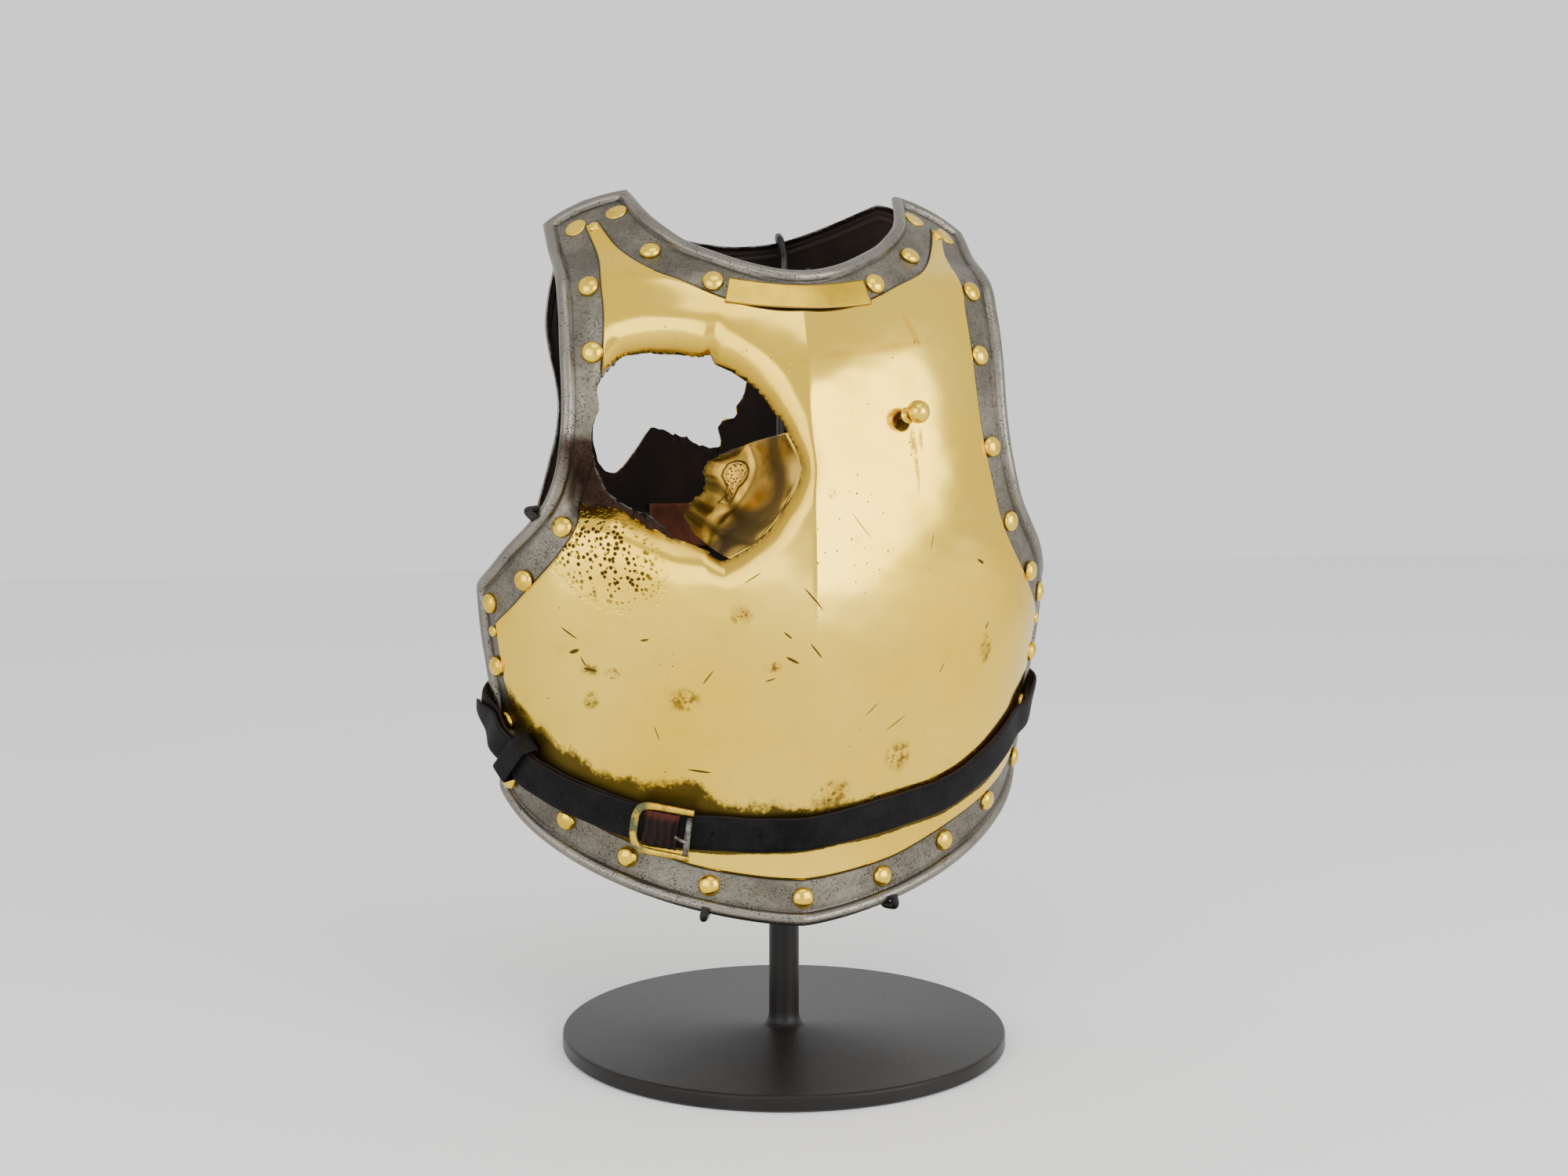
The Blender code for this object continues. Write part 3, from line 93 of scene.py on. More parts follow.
HOLE_MIDDLE, EXIT_MIDDLE = (HOLE_X, HOLE_Z), (EXIT_X, EXIT_Z)
BELT_WIDTH, LEATHER = 0.023, 0.0026
TAG_LENGTH, TAG_WIDTH, TAG_PLACE = 0.046, 0.030, (-11.5, 0.462)
PLAQUE_LENGTH, PLAQUE_WIDTH, STUD_PLACE = 0.086, 0.0145, (20.5, 0.681)
GROOVE_AT, GROOVE_WIDTH, GROOVE_DEPTH = 0.0092, 0.0008, 0.00035
GROOVE_RINGS = [0.0086, 0.0093, 0.0102, 0.0115]
EDGE_FALL, EDGE_BAND = 0.0005, 0.0012
CLIP_RADIUS = 0.0025
KEEL_ENDS = 0.6  # the sine of the angle where the keel has faded out
DISH_REACH = 1.3  # how many of the table's widths the dish takes to fade out
SHOULDER_RISE, HEM_CURVE = 0.012, 1.6
SAMPLES = 80
# height, half width, crown, ridge, bend
FRONT_SECTIONS = np.array([
    (-0.02, 0.920, 0.417, 0.090, 0.983), (0.045, 0.915, 0.400, 0.100, 0.983),
    (0.100, 0.915, 0.408, 0.108, 0.975), (0.143, 0.920, 0.458, 0.125, 0.958),
    (0.198, 0.925, 0.525, 0.142, 0.942), (0.264, 0.940, 0.583, 0.158, 0.950),
    (0.330, 0.968, 0.625, 0.167, 0.975), (0.396, 0.990, 0.658, 0.167, 1.000),
    (0.462, 1.000, 0.667, 0.158, 1.008), (0.538, 1.000, 0.654, 0.142, 0.983),
    (0.604, 0.995, 0.625, 0.125, 0.942), (0.670, 0.990, 0.558, 0.108, 0.900),
    (0.725, 0.985, 0.504, 0.100, 0.883), (0.780, 0.978, 0.433, 0.083, 0.900),
    (0.824, 0.968, 0.358, 0.058, 0.942), (0.868, 0.962, 0.258, 0.033, 1.042),
    (0.905, 0.957, 0.092, 0.017, 1.317), (0.943, 0.952, -0.008, 0.008, 1.567),
    (0.967, 0.952, -0.125, 0.004, 1.667), (1.000, 0.952, -0.317, 0.002, 1.750)])
BACK_SECTIONS = np.array([
    (-0.03, 0.900, 0.948, 0.0, 0.640), (0.040, 0.897, 0.915, 0.0, 0.640),
    (0.087, 0.900, 0.918, 0.0, 0.655), (0.170, 0.914, 0.975, 0.0, 0.770),
    (0.270, 0.946, 1.052, 0.0, 0.870), (0.390, 0.978, 1.133, 0.0, 0.975),
    (0.510, 0.990, 1.193, 0.0, 1.000), (0.635, 0.990, 1.215, 0.0, 0.960),
    (0.730, 0.975, 1.200, 0.0, 0.880), (0.825, 0.955, 1.156, 0.0, 0.780),
    (0.900, 0.935, 1.096, 0.0, 0.660), (0.960, 0.920, 1.037, 0.0, 0.540),
    (1.010, 0.910, 0.980, 0.0, 0.450)])
# outlines: degrees round from the middle, and share of the height
FRONT_SIDE_ANGLE, FRONT_SIDE = 82.0, (0.165, 0.455)
FRONT_ARM = [(82.0, 0.455), (72.0, 0.484), (66.3, 0.508), (58.7, 0.541), (54.6, 0.567),
             (51.8, 0.604), (49.8, 0.670), (50.0, 0.763), (51.0, 0.857), (51.7, 0.943)]
FRONT_NECK = [(29.3, 0.991), (25.8, 0.947), (23.0, 0.930), (19.3, 0.912), (15.5, 0.899),
              (8.9, 0.881), (0.0, 0.871), (-8.9, 0.881), (-15.5, 0.899), (-19.3, 0.912),
              (-23.0, 0.930), (-25.8, 0.947), (-29.3, 0.991)]
BACK_SIDE_ANGLE, BACK_SIDE = 84.0, (0.080, 0.372)
BACK_ARM = [(84.0, 0.372), (74.0, 0.392), (64.0, 0.420), (56.5, 0.446), (51.8, 0.503),
            (47.2, 0.566), (44.0, 0.626), (43.6, 0.663), (44.8, 0.701), (47.6, 0.748),
            (49.6, 0.790), (49.6, 0.830), (48.3, 0.880), (47.0, 0.930), (46.5, 0.965)]
BACK_NECK = [(35.5, 0.995), (30.5, 0.982), (25.0, 0.967), (18.0, 0.949), (11.0, 0.934),
             (5.0, 0.928), (0.0, 0.926), (-5.0, 0.928), (-11.0, 0.934), (-18.0, 0.949),
             (-25.0, 0.967), (-30.5, 0.982), (-35.5, 0.995)]
# bearing, then radii of the brass and of the steel, dish width and dish depth, in hole radii
ENTRY = np.array([
    (-180, 1.02, 0.94, 0.18, 0.08), (-165, 1.10, 0.90, 0.35, 0.28), (-155, 1.15, 0.88, 0.45, 0.34),
    (-148, 0.98, 0.84, 0.45, 0.32), (-140, 0.86, 0.80, 0.42, 0.28), (-126, 0.82, 0.72, 0.36, 0.24),
    (-112, 0.82, 0.76, 0.36, 0.20), (-98, 0.85, 0.86, 0.38, 0.17), (-87, 0.90, 0.92, 0.28, 0.15),
    (-78, 1.05, 1.06, 0.20, 0.14), (-60, 1.00, 1.03, 0.14, 0.13), (-33, 0.94, 0.97, 0.14, 0.13),
    (-8, 0.98, 1.00, 0.12, 0.12), (12, 0.89, 0.92, 0.14, 0.13), (30, 0.85, 0.90, 0.20, 0.16),
    (54, 0.87, 0.90, 0.30, 0.20), (74, 0.90, 0.93, 0.34, 0.22), (79, 0.98, 0.99, 0.34, 0.22),
    (84, 0.93, 0.97, 0.35, 0.23), (104, 1.00, 1.03, 0.36, 0.24), (122, 1.12, 1.12, 0.34, 0.20),
    (136, 1.15, 1.12, 0.28, 0.12), (146, 1.06, 1.08, 0.16, 0.06), (152, 1.00, 0.98, 0.14, 0.05),
    (165, 1.00, 0.98, 0.12, 0.04)])
# bearing and radius
EXIT = np.array([
    (-180, 0.87), (-165, 0.90), (-150, 0.99), (-140, 1.12), (-129, 1.26), (-123, 1.28),
    (-117, 1.22), (-113, 0.98), (-108, 0.72), (-104, 0.60), (-90, 0.60), (-69, 0.74), (-58, 0.96),
    (-48, 1.08), (-42, 0.90), (-33, 0.88), (-27, 1.02), (-22, 0.94), (-11, 1.00), (10, 1.05),
    (30, 0.96), (50, 1.03), (75, 0.94), (95, 1.04), (120, 0.97), (145, 0.98), (165, 0.90)])
# bearing of the root, then a middle point and an end point: across, up and inwards, in radii
FLAP = [
    (14.0, (0.69, 0.12, 0.50), (0.52, 0.04, 0.73)),
    (-8.0, (0.74, -0.17, 0.47), (0.30, -0.09, 0.79)),
    (-30.0, (0.59, -0.49, 0.47), (0.21, -0.41, 0.82)),
    (-55.0, (0.33, -0.75, 0.40), (0.05, -0.56, 0.79)),
    (-74.0, (0.22, -0.92, 0.32), (0.07, -0.77, 0.56))]

# %% [markdown]
# ## Plain numpy tools
# A smooth curve through a table's rows, a wobble made of a few sine waves, and the numbering of a
# grid's faces are all that the surfaces below need.

# %% Curves, wobble and grid faces
def curve_through(x, xs, ys):
    """Cubic through the points: slopes averaged from the neighbours, straight lines outside."""
    xs, ys = np.asarray(xs, float), np.asarray(ys, float)
    step = np.diff(xs)
    slope = np.diff(ys) / step
    tangent = np.empty_like(ys)
    tangent[1:-1] = (slope[:-1] * step[1:] + slope[1:] * step[:-1]) / (step[:-1] + step[1:])
    tangent[0], tangent[-1] = slope[0], slope[-1]
    i = np.clip(np.searchsorted(xs, x) - 1, 0, len(step) - 1)
    t = (x - xs[i]) / step[i]
    t2, t3 = t * t, t * t * t
    y = ((2 * t3 - 3 * t2 + 1) * ys[i] + (t3 - 2 * t2 + t) * step[i] * tangent[i]
         + (3 * t2 - 2 * t3) * ys[i + 1] + (t3 - t2) * step[i] * tangent[i + 1])
    before = ys[0] + tangent[0] * (x - xs[0])
    after = ys[-1] + tangent[-1] * (x - xs[-1])
    return np.where(x < xs[0], before, np.where(x > xs[-1], after, y))


def unit(vectors):
    return vectors / np.maximum(np.linalg.norm(vectors, axis=-1, keepdims=True), 1e-12)


def lengths_along(points):
    """The length along a line of points, up to each of them."""
    return np.concatenate([[0], np.cumsum(np.linalg.norm(np.diff(points, axis=0), axis=1))])


def polar(x, z, middle):
    """Distance from a middle, and bearing in degrees: 0 to the right, 90 upwards."""
    across, up = x - middle[0], z - middle[1]
    return np.hypot(across, up), np.degrees(np.arctan2(up, across))


def around(bearing, table, column):
    """A column of a table of bearings, read all the way round."""
    xs = np.concatenate([table[-1:, 0] - 360, table[:, 0], table[:1, 0] + 360])
    ys = np.concatenate([table[-1:, column], table[:, column], table[:1, column]])
    return np.interp(bearing, xs, ys)


def wobble(x, z, length, seed):
    """Sum of eight sine waves of about the given length in turned directions, from -1 to 1."""
    rng = np.random.default_rng(seed)
    turn = rng.uniform(0, math.tau, 8)
    wave = math.tau / (length * rng.uniform(0.7, 1.5, 8))
    phase = rng.uniform(0, math.tau, 8)
    total = 0
    for t, k, p in zip(turn, wave, phase):
        total = total + np.sin(k * (np.cos(t) * x + np.sin(t) * z) + p)
    return total / 5


def jag(bearing, size, seed):
    """A torn edge's wandering: sine waves round the hole, from slow to quick, in metres."""
    rng = np.random.default_rng(seed)
    turns = np.array([7, 11, 17, 23, 31, 43, 57, 71])
    phases = rng.uniform(0, math.tau, len(turns))
    return size * sum(np.sin(np.radians(bearing) * n + p) / n ** 0.5 for n, p in zip(turns, phases))


def smooth(t):
    """Zero below 0, one above 1, and 3t2 - 2t3 between."""
    t = np.clip(t, 0, 1)
    return t * t * (3 - 2 * t)


def grid_faces(rows, columns, wrap_rows=False, wrap_columns=False):
    """Corner numbers of a grid's quads, with the last row or column joined to the first if asked."""
    i = np.arange(rows if wrap_rows else rows - 1)[:, None]
    j = np.arange(columns if wrap_columns else columns - 1)[None, :]
    i2, j2 = (i + 1) % rows, (j + 1) % columns
    return np.stack([i * columns + j, i * columns + j2, i2 * columns + j2, i2 * columns + j],
                    -1).reshape(-1, 4)


def make_piece(name, points, faces, materials, replaces=(), slot="steel", marks=None, angle=60):
    """Puts arrays of points and corner numbers into a mesh object that rides on the body."""
    mesh = bpy.data.meshes.new(name)
    mesh.from_pydata(np.asarray(points).reshape(-1, 3).tolist(), [], [list(f) for f in faces])
    mesh.validate()
    for material in materials:
        mesh.materials.append(material)
    mesh.shade_smooth()
    mesh.set_sharp_from_angle(angle=math.radians(angle))
    for key, values in (marks or {}).items():
        mesh.attributes.new(key, "FLOAT", "POINT").data.foreach_set("value", np.ravel(values))
    piece = bpy.data.objects.new(name, mesh)
    bpy.context.scene.collection.objects.link(piece)
    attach(piece, "root")
    if replaces:
        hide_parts(*replaces)
    print(name, len(mesh.vertices), "points")
    return piece


def wall(piece, thickness, inner=0, rim=0):
    """Gives a one-sided sheet its wall, on the side away from its normals."""
    modifier = piece.modifiers.new("wall", "SOLIDIFY")
    modifier.thickness = thickness
    modifier.offset = -1
    modifier.material_offset = inner
    modifier.material_offset_rim = rim


# %% [markdown]
# ## The bent plates
# Each plate is a function of two numbers: the angle round the body and the height above the rim.
# Its half width, keel and bend are read from the table of sections. The breastplate also has the
# dish that the ball pressed in round the hole, and both have the slight waves of hammered metal.

# %% The plate as a function
class Plate:
    """Point = (W/2 half sin a, depth (crown - ridge (1 - s2) - bend (1 - cos a)), rim + height).

    Here s = 1 - |sin a| / KEEL_ENDS, not below 0. Half, crown, ridge and bend come from the table.
    """

    def __init__(self, sections, width, height, depth, facing, rim, dented):
        self.rows, self.width, self.height, self.depth = sections, width, height, depth
        self.facing, self.rim, self.dented = facing, rim, dented

    def place(self, angle, share):
        return np.stack(np.broadcast_arrays(np.radians(angle), np.asarray(share) * self.height), -1)

    def half(self, share):
        return self.width / 2 * curve_through(share, self.rows[:, 0], self.rows[:, 1])

    def point(self, q):
        angle, share = q[..., 0], q[..., 1] / self.height
        crown, ridge, bend = (curve_through(share, self.rows[:, 0], self.rows[:, i])
                              for i in (2, 3, 4))
        spread = np.clip(1 - np.abs(np.sin(angle)) / KEEL_ENDS, 0, 1)
        out = crown - ridge * (1 - spread ** 2) - bend * (1 - np.cos(angle))
        x, z = self.half(share) * np.sin(angle), self.rim + q[..., 1]
        y = self.facing * self.depth * out
        if self.dented:
            y = y + entry_dish(x, z)
        return np.stack([x, y, z], -1)

    def slopes(self, q):
        turn, rise = np.array([1e-3, 0]), np.array([0, 1e-4])
        return ((self.point(q + turn) - self.point(q - turn)) / 2e-3,
                (self.point(q + rise) - self.point(q - rise)) / 2e-4)

    def normal(self, q):
        turn, rise = self.slopes(q)
        return unit(np.cross(turn, rise)) * -self.facing

    def inset(self, path, distance):
        """A path moved inwards along the surface in five steps, mitred at its corners."""
        for _ in range(5):
            p = self.point(path)
            ahead, behind = np.roll(p, -1, 0) - p, p - np.roll(p, 1, 0)
            ahead[-1], behind[0] = behind[-1], ahead[0]
            up = self.normal(path) * -self.facing
            first, second = unit(np.cross(up, behind)), unit(np.cross(up, ahead))
            spread = 1 + (first * second).sum(-1, keepdims=True)
            move = (first + second) / spread * distance / 5
            turn, rise = self.slopes(path)
            tt, rr, tr = (turn * turn).sum(-1), (rise * rise).sum(-1), (turn * rise).sum(-1)
            tm, rm = (turn * move).sum(-1), (rise * move).sum(-1)
            scale = tt * rr - tr * tr
            path = path + np.stack([(tm * rr - rm * tr) / scale, (rm * tt - tm * tr) / scale], -1)
        return path

    def even(self, path, count):
        """The path resampled at equal steps along the surface."""
        run = lengths_along(self.point(path))
        at = np.linspace(0, run[-1], count + 1)
        return np.stack([np.interp(at, run, path[:, i]) for i in (0, 1)], -1)

    def under(self, x, z):
        """The place whose point has this x and z."""
        share = (z - self.rim) / self.height
        return np.stack([np.arcsin(np.clip(x / self.half(share), -0.999, 0.999)), z - self.rim], -1)


def entry_dish(x, z):
    """Push inwards = depth (1 - t)3, where t goes from 0 at the torn edge to 1 where the dish ends."""
    reach, bearing = polar(x, z, HOLE_MIDDLE)
    edge, width, depth = (HOLE_RADIUS * around(bearing, ENTRY, i) for i in (1, 3, 4))
    even = ENTRY[:, 4].mean() * HOLE_RADIUS
    depth = even + (depth - even) * np.clip(reach / edge, 0, 1) ** 2
    return depth * (1 - np.clip((reach - edge) / (DISH_REACH * width), 0, 1)) ** 3


front = Plate(FRONT_SECTIONS, WIDTH, HEIGHT, DEPTH, -1, RIM, True)
back = Plate(BACK_SECTIONS, BACK_WIDTH, BACK_HEIGHT, BACK_DEPTH, 1, BACK_RIM, False)


# %% [markdown]
# The outline runs along the bottom, up the side, round the armhole and over the shoulder to the
# neck. The brass stops short of it all round, and its corners are where the inset edges cross.

# %% Outlines and the edges of the brass
def outline(plate, side_angle, side, arm, neck):
    """The right half's edges and the whole bottom and neck, as places."""
    def path_of(table):
        rows = np.asarray(table, float)
        run = lengths_along(np.column_stack([np.radians(rows[:, 0]), rows[:, 1] * 2]))
        at = np.linspace(0, run[-1], SAMPLES)
        return plate.place(curve_through(at, run, rows[:, 0]), curve_through(at, run, rows[:, 1]))

    share = np.linspace(-1, 1, SAMPLES)
    right_arm, neck_path = path_of(arm), path_of(neck)
    t = np.linspace(0, 1, SAMPLES)[:, None]
    top = right_arm[-1] * (1 - t) + neck_path[0] * t
    top[:, 1] += SHOULDER_RISE * (t * (1 - t))[:, 0]
    return {"bottom": plate.place(side_angle * share, side[0] * np.abs(share) ** HEM_CURVE),
            "side": plate.place(side_angle, np.linspace(*side, SAMPLES)),
            "arm": right_arm, "top": top, "neck": neck_path}


def crossing(first, second):
    """Where two paths cross, as positions along each."""
    a, b = first[:-1, None], second[None, :-1]
    u, v = np.diff(first, axis=0)[:, None], np.diff(second, axis=0)[None]
    area = u[..., 0] * v[..., 1] - u[..., 1] * v[..., 0]
    gap = b - a
    s = (gap[..., 0] * v[..., 1] - gap[..., 1] * v[..., 0]) / area
    t = (gap[..., 0] * u[..., 1] - gap[..., 1] * u[..., 0]) / area
    i, j = np.argwhere((s >= 0) & (s <= 1) & (t >= 0) & (t <= 1))[0]
    return i + s[i, j], j + t[i, j]


def stretch(path, start, end):
    """The part of a path between two positions along it."""
    whole = np.arange(len(path))
    at = np.concatenate([[start], whole[(whole > start) & (whole < end)], [end]])
    return np.stack([np.interp(at, whole, path[:, i]) for i in (0, 1)], -1)


def brass_edges(plate, edges, border, shape):
    """Each edge set in by its border, run on a third, and trimmed where it meets its neighbours."""
    inner = {}
    for name, size in border.items():
        width = size * np.interp(np.linspace(0, 1, SAMPLES), np.linspace(0, 1, len(shape[name])),
                                 shape[name])
        path = plate.inset(plate.even(edges[name], SAMPLES - 1), width[:, None])
        run = SAMPLES / 3
        inner[name] = np.concatenate([path[:1] + (path[:1] - path[1:2]) * run, path,
                                      path[-1:] + (path[-1:] - path[-2:-1]) * run])
    names = ["bottom", "side", "arm", "top", "neck"]
    ends, starts = zip(*[crossing(inner[a], inner[b]) for a, b in zip(names, names[1:])])
    last = len(inner["bottom"]) - 1
    starts, ends = (last - ends[0], *starts), (*ends, last - starts[-1])
    return {name: stretch(inner[name], *span) for name, span in zip(names, zip(starts, ends))}


FLIP = np.array([-1, 1])
front_edges = outline(front, FRONT_SIDE_ANGLE, FRONT_SIDE, FRONT_ARM, FRONT_NECK)
back_edges = outline(back, BACK_SIDE_ANGLE, BACK_SIDE, BACK_ARM, BACK_NECK)
front_brass_edges = brass_edges(front, front_edges, BORDER, BORDER_SHAPE)
back_brass_edges = brass_edges(back, back_edges, BACK_BORDER, PLAIN_SHAPE)
print("brass tips at", front_brass_edges["neck"][0], front_brass_edges["neck"][-1])


# %% [markdown]
# A grid inside four edges comes from Coons' rule: the two rulings between opposite edges are added,
# and the ruling between the corners is taken away. Rings then carry the steel from the outline to
# that grid, packed closely over the bead so that it comes out round.

# %% Grids inside the edges, and rings round them
def four_sides(plate, edges, counts):
    """The bottom, the top, the left and the right of a plate's four-sided grid."""
    n, ns, na, nt = counts
    rise = np.concatenate([plate.even(edges["side"], ns), plate.even(edges["arm"], na)[1:]])
    shoulder, dip = plate.even(edges["top"], nt), n - 2 * nt
    neck = plate.even(edges["neck"], dip)[-2:0:-1]
    over = np.concatenate([shoulder * FLIP, neck, shoulder[::-1]])
    return plate.even(edges["bottom"], n), over, rise * FLIP, rise


def coons(bottom, top, left, right):
    """Grid = (1 - v) bottom + v top + (1 - u) left + u right - the corners mixed both ways."""
    u = np.linspace(0, 1, len(bottom))[None, :, None]
    v = np.linspace(0, 1, len(left))[:, None, None]
    corners = ((1 - v) * ((1 - u) * bottom[0] + u * bottom[-1])
               + v * ((1 - u) * top[0] + u * top[-1]))
    return ((1 - v) * bottom[None] + v * top[None] + (1 - u) * left[:, None] + u * right[:, None]
            - corners)


def loop_of(bottom, top, left, right):
    """The four sides as one closed loop, in order."""
    return np.concatenate([bottom, right[1:], top[::-1][1:], left[::-1][1:-1]])


def loop_numbers(rows, columns):
    last = (rows - 1) * columns
    return np.concatenate([np.arange(columns), np.arange(1, rows) * columns + columns - 1,
                           last + np.arange(columns - 2, -1, -1),
                           np.arange(rows - 2, 0, -1) * columns])


def edge_distance(points, loop):
    """Shortest distance from each point to a closed line, found a block of points at a time."""
    a, b = loop, np.roll(loop, -1, 0)
    run = b - a
    length = (run * run).sum(1)
    blocks = []
    for block in np.array_split(points, max(1, len(points) // 2000)):
        t = np.clip(((block[:, None] - a[None]) * run[None]).sum(-1) / length[None], 0, 1)
        gap = block[:, None] - a[None] - t[..., None] * run[None]
        blocks.append(np.sqrt((gap * gap).sum(-1).min(1)))
    return np.concatenate(blocks)


def torn(plate, places, faces, middle, edge_of):
    """Removes the faces inside a torn edge and draws the points that are left there out to it."""
    p = plate.point(places)
    reach, bearing = polar(p[:, 0], p[:, 2], middle)
    edge = edge_of(bearing)
    inside = reach < edge
    kept = faces[~inside[faces].all(1)]
    pull = np.zeros(len(places), bool)
    pull[np.unique(kept)] = True
    pull &= inside
    grow = edge[pull] / np.maximum(reach[pull], 1e-6)
    x, z = (m + (p[pull, i] - m) * grow for m, i in zip(middle, (0, 2)))
    places = places.copy()
    places[pull] = plate.under(x, z)
    used = np.unique(kept)
    renumber = np.full(len(places), -1)
    renumber[used] = np.arange(len(used))
    return places[used], renumber[kept]


def facing_out(points, faces, normals):
    """Turns all faces over if they look inwards."""
    a, b, c = (points[faces[:, i]] for i in (0, 1, 2))
    inward = ((np.cross(b - a, c - b) * normals[faces[:, 0]]).sum(1) < 0).mean() > 0.5
    return faces[:, ::-1] if inward else faces


# %% [markdown]
# ## Finishes
# Polished brass, pitted steel and worn leather are procedural materials. Node maths is written as
# Python sums: a small class wraps a socket, so that `1 - mask` or `a * b + c` adds Math nodes.

# %% A class for node maths and one for a finish
class Value:
    """One output of a node, with the operators that the finishes use."""

    def __init__(self, paint, socket):
        self.paint, self.socket = paint, socket

    def math(self, operation, *others):
        return self.paint.node("ShaderNodeMath", {"operation": operation},
                               dict(enumerate((self,) + others)))

    def __add__(self, other):
        return self.math("ADD", other)

    def __mul__(self, other):
        return self.math("MULTIPLY", other)

    def __sub__(self, other):
        return self.math("SUBTRACT", other)

    def __rsub__(self, other):
        return self.paint.node("ShaderNodeMath", {"operation": "SUBTRACT"}, {0: other, 1: self})

    __radd__, __rmul__ = __add__, __mul__

    def rise(self, low, high):
        """Smoothly 0 below low and 1 above high, or falling if low is the greater."""
        return self.paint.node("ShaderNodeMapRange", {"interpolation_type": "SMOOTHSTEP"},
                               {0: self, 1: low, 2: high, 3: 0.0, 4: 1.0})

    def top(self, other):
        return self.math("MAXIMUM", other)


class Paint:
    """A material being mixed. Its node method adds any node, sets it, and wires its sockets."""

    def __init__(self, name, colour, roughness, metallic, specular=0.5):
        self.material = bpy.data.materials.new(name)
        self.material.use_nodes = True
        self.tree = self.material.node_tree
        self.shader = self.tree.nodes["Principled BSDF"]
        self.shader.inputs["Base Color"].default_value = (*colour, 1.0)
        self.shader.inputs["Roughness"].default_value = roughness
        self.shader.inputs["Metallic"].default_value = metallic
        self.shader.inputs["Specular IOR Level"].default_value = specular
        self.where = self.node("ShaderNodeTexCoord", out="Object")

    def node(self, kind, settings=None, sockets=None, out=0):
        node = self.tree.nodes.new(kind)
        for key, value in (settings or {}).items():
            setattr(node, key, value)
        for key, value in (sockets or {}).items():
            if isinstance(value, Value):
                self.tree.links.new(value.socket, node.inputs[key])
            else:
                node.inputs[key].default_value = value
        return Value(self, node.outputs[out])

    def place(self, stretch):
        """The object's own coordinates, stretched along the axes if asked."""
        if not stretch:
            return self.where
        return self.node("ShaderNodeMapping", None, {0: self.where, 3: stretch})

    def noise(self, scale, detail=3.0, rough=0.55, stretch=None):
        """Cloudy noise about 0.5, with scale clouds to the metre."""
        return self.node("ShaderNodeTexNoise", None, {"Vector": self.place(stretch), "Scale": scale,
                                                      "Detail": detail, "Roughness": rough})

    def cells(self, scale, stretch=None):
        """Distance from the nearest of scattered points, in cells, with scale cells to the metre."""
        return self.node("ShaderNodeTexVoronoi", None,
                         {"Vector": self.place(stretch), "Scale": scale}, out="Distance")

    def mark(self, name):
        """A mesh attribute."""
        return self.node("ShaderNodeAttribute", {"attribute_name": name}, out="Fac")

    def mix(self, factor, first, second):
        def full(c):
            return c if isinstance(c, Value) else (*c, 1.0)
        return self.node("ShaderNodeMix", {"data_type": "RGBA"}, {0: factor, 6: full(first),
                                                                 7: full(second)}, out=2)

    def finish(self, colour=None, roughness=None, height=None, depth=0.0005, metallic=None):
        """Wires what varies into the shader; height is in units of depth metres."""
        for key, value in (("Base Color", colour), ("Roughness", roughness), ("Metallic", metallic)):
            if value is not None:
                self.tree.links.new(value.socket, self.shader.inputs[key])
        if height is not None:
            bump = self.node("ShaderNodeBump", None, {"Height": height, "Distance": depth,
                                                      "Strength": 1.0})
            self.tree.links.new(bump.socket, self.shader.inputs["Normal"])
        return self.material


# %% [markdown]
# The marks on this brass are mostly its history: needle scratches, brown bruises, corrosion pits by
# the armhole and dark patina that the belt kept from being polished. Some are painted light and
# shade: a painted shadow at the stud's foot, a thin painted shadow of the belt along its top edge on
# the right, and painted shade along the torn edge and in the dish round it. A scratch is a slim
# ellipse in the plane of the front, found from the distance to a line's middle along and across it.

# %% Brass of the breastplate
def streaks(paint, rows, soft=0.5):
    """For each row, 1 inside a slim turned ellipse and 0 outside: a rise of (l/a)2 + (w/b)2 about 1."""
    split = paint.node("ShaderNodeSeparateXYZ", None, {0: paint.where})
    axis_z = Value(paint, split.socket.node.outputs[2])
    marks = []
    for x, z, half, width, turn in rows:
        c, s = (f(math.radians(turn)) * 1000 for f in (math.cos, math.sin))
        dx, dz = split - x / 1000, axis_z - z / 1000
        along, across = dx * (c / half) + dz * (s / half), dz * (c / width) - dx * (s / width)
        marks.append((along * along + across * across).rise(1.0 + soft, 1.0 - soft))
    return marks


# each mark of the front: x, z, half length, half width in mm, and turn in degrees
PITTED = [(-119, 312, 36, 24, -44)]
RIPPLES = [(40, 434, 40, 3.0, 9), (72, 447, 10, 2.5, -62)]
DRIPS = [(69.0, 368, 1.4, 18, 3), (66.5, 379, 1.2, 8, 0), (73.0, 381, 1.3, 6, 0)]
STUD_SHADOW = [(60.0, 391.5, 6.2, 6.2, 8)]
SCRATCHES = [
    (-138, 265, 6.0, 0.5, -38), (-135, 254, 3.0, 1.2, 25), (-130, 248, 3.5, 0.45, -60),
    (-126, 243, 4.0, 0.9, -12), (-16, 266, 3.2, 0.5, -40), (-13, 251, 4.2, 0.8, -28),
    (0, 257, 6.0, 0.5, -50), (-2, 288, 8.5, 0.45, -50), (-25, 239, 3.0, 0.35, 20),
    (-63, 182, 6.5, 0.6, -8), (124, 264, 2.5, 0.5, 70), (117, 305, 3.0, 0.8, -30),
    (80, 319, 5.0, 0.3, 80), (40, 218, 6.0, 0.3, 40), (30, 330, 9.0, 0.25, -50),
    (-96, 262, 2.4, 0.6, 10), (-60, 240, 5.0, 0.35, 55), (58, 208, 9.0, 0.3, 32),
    (-88, 205, 5.0, 0.3, -70), (90, 240, 4.0, 0.3, 60), (-36, 300, 5.0, 0.3, 35),
]
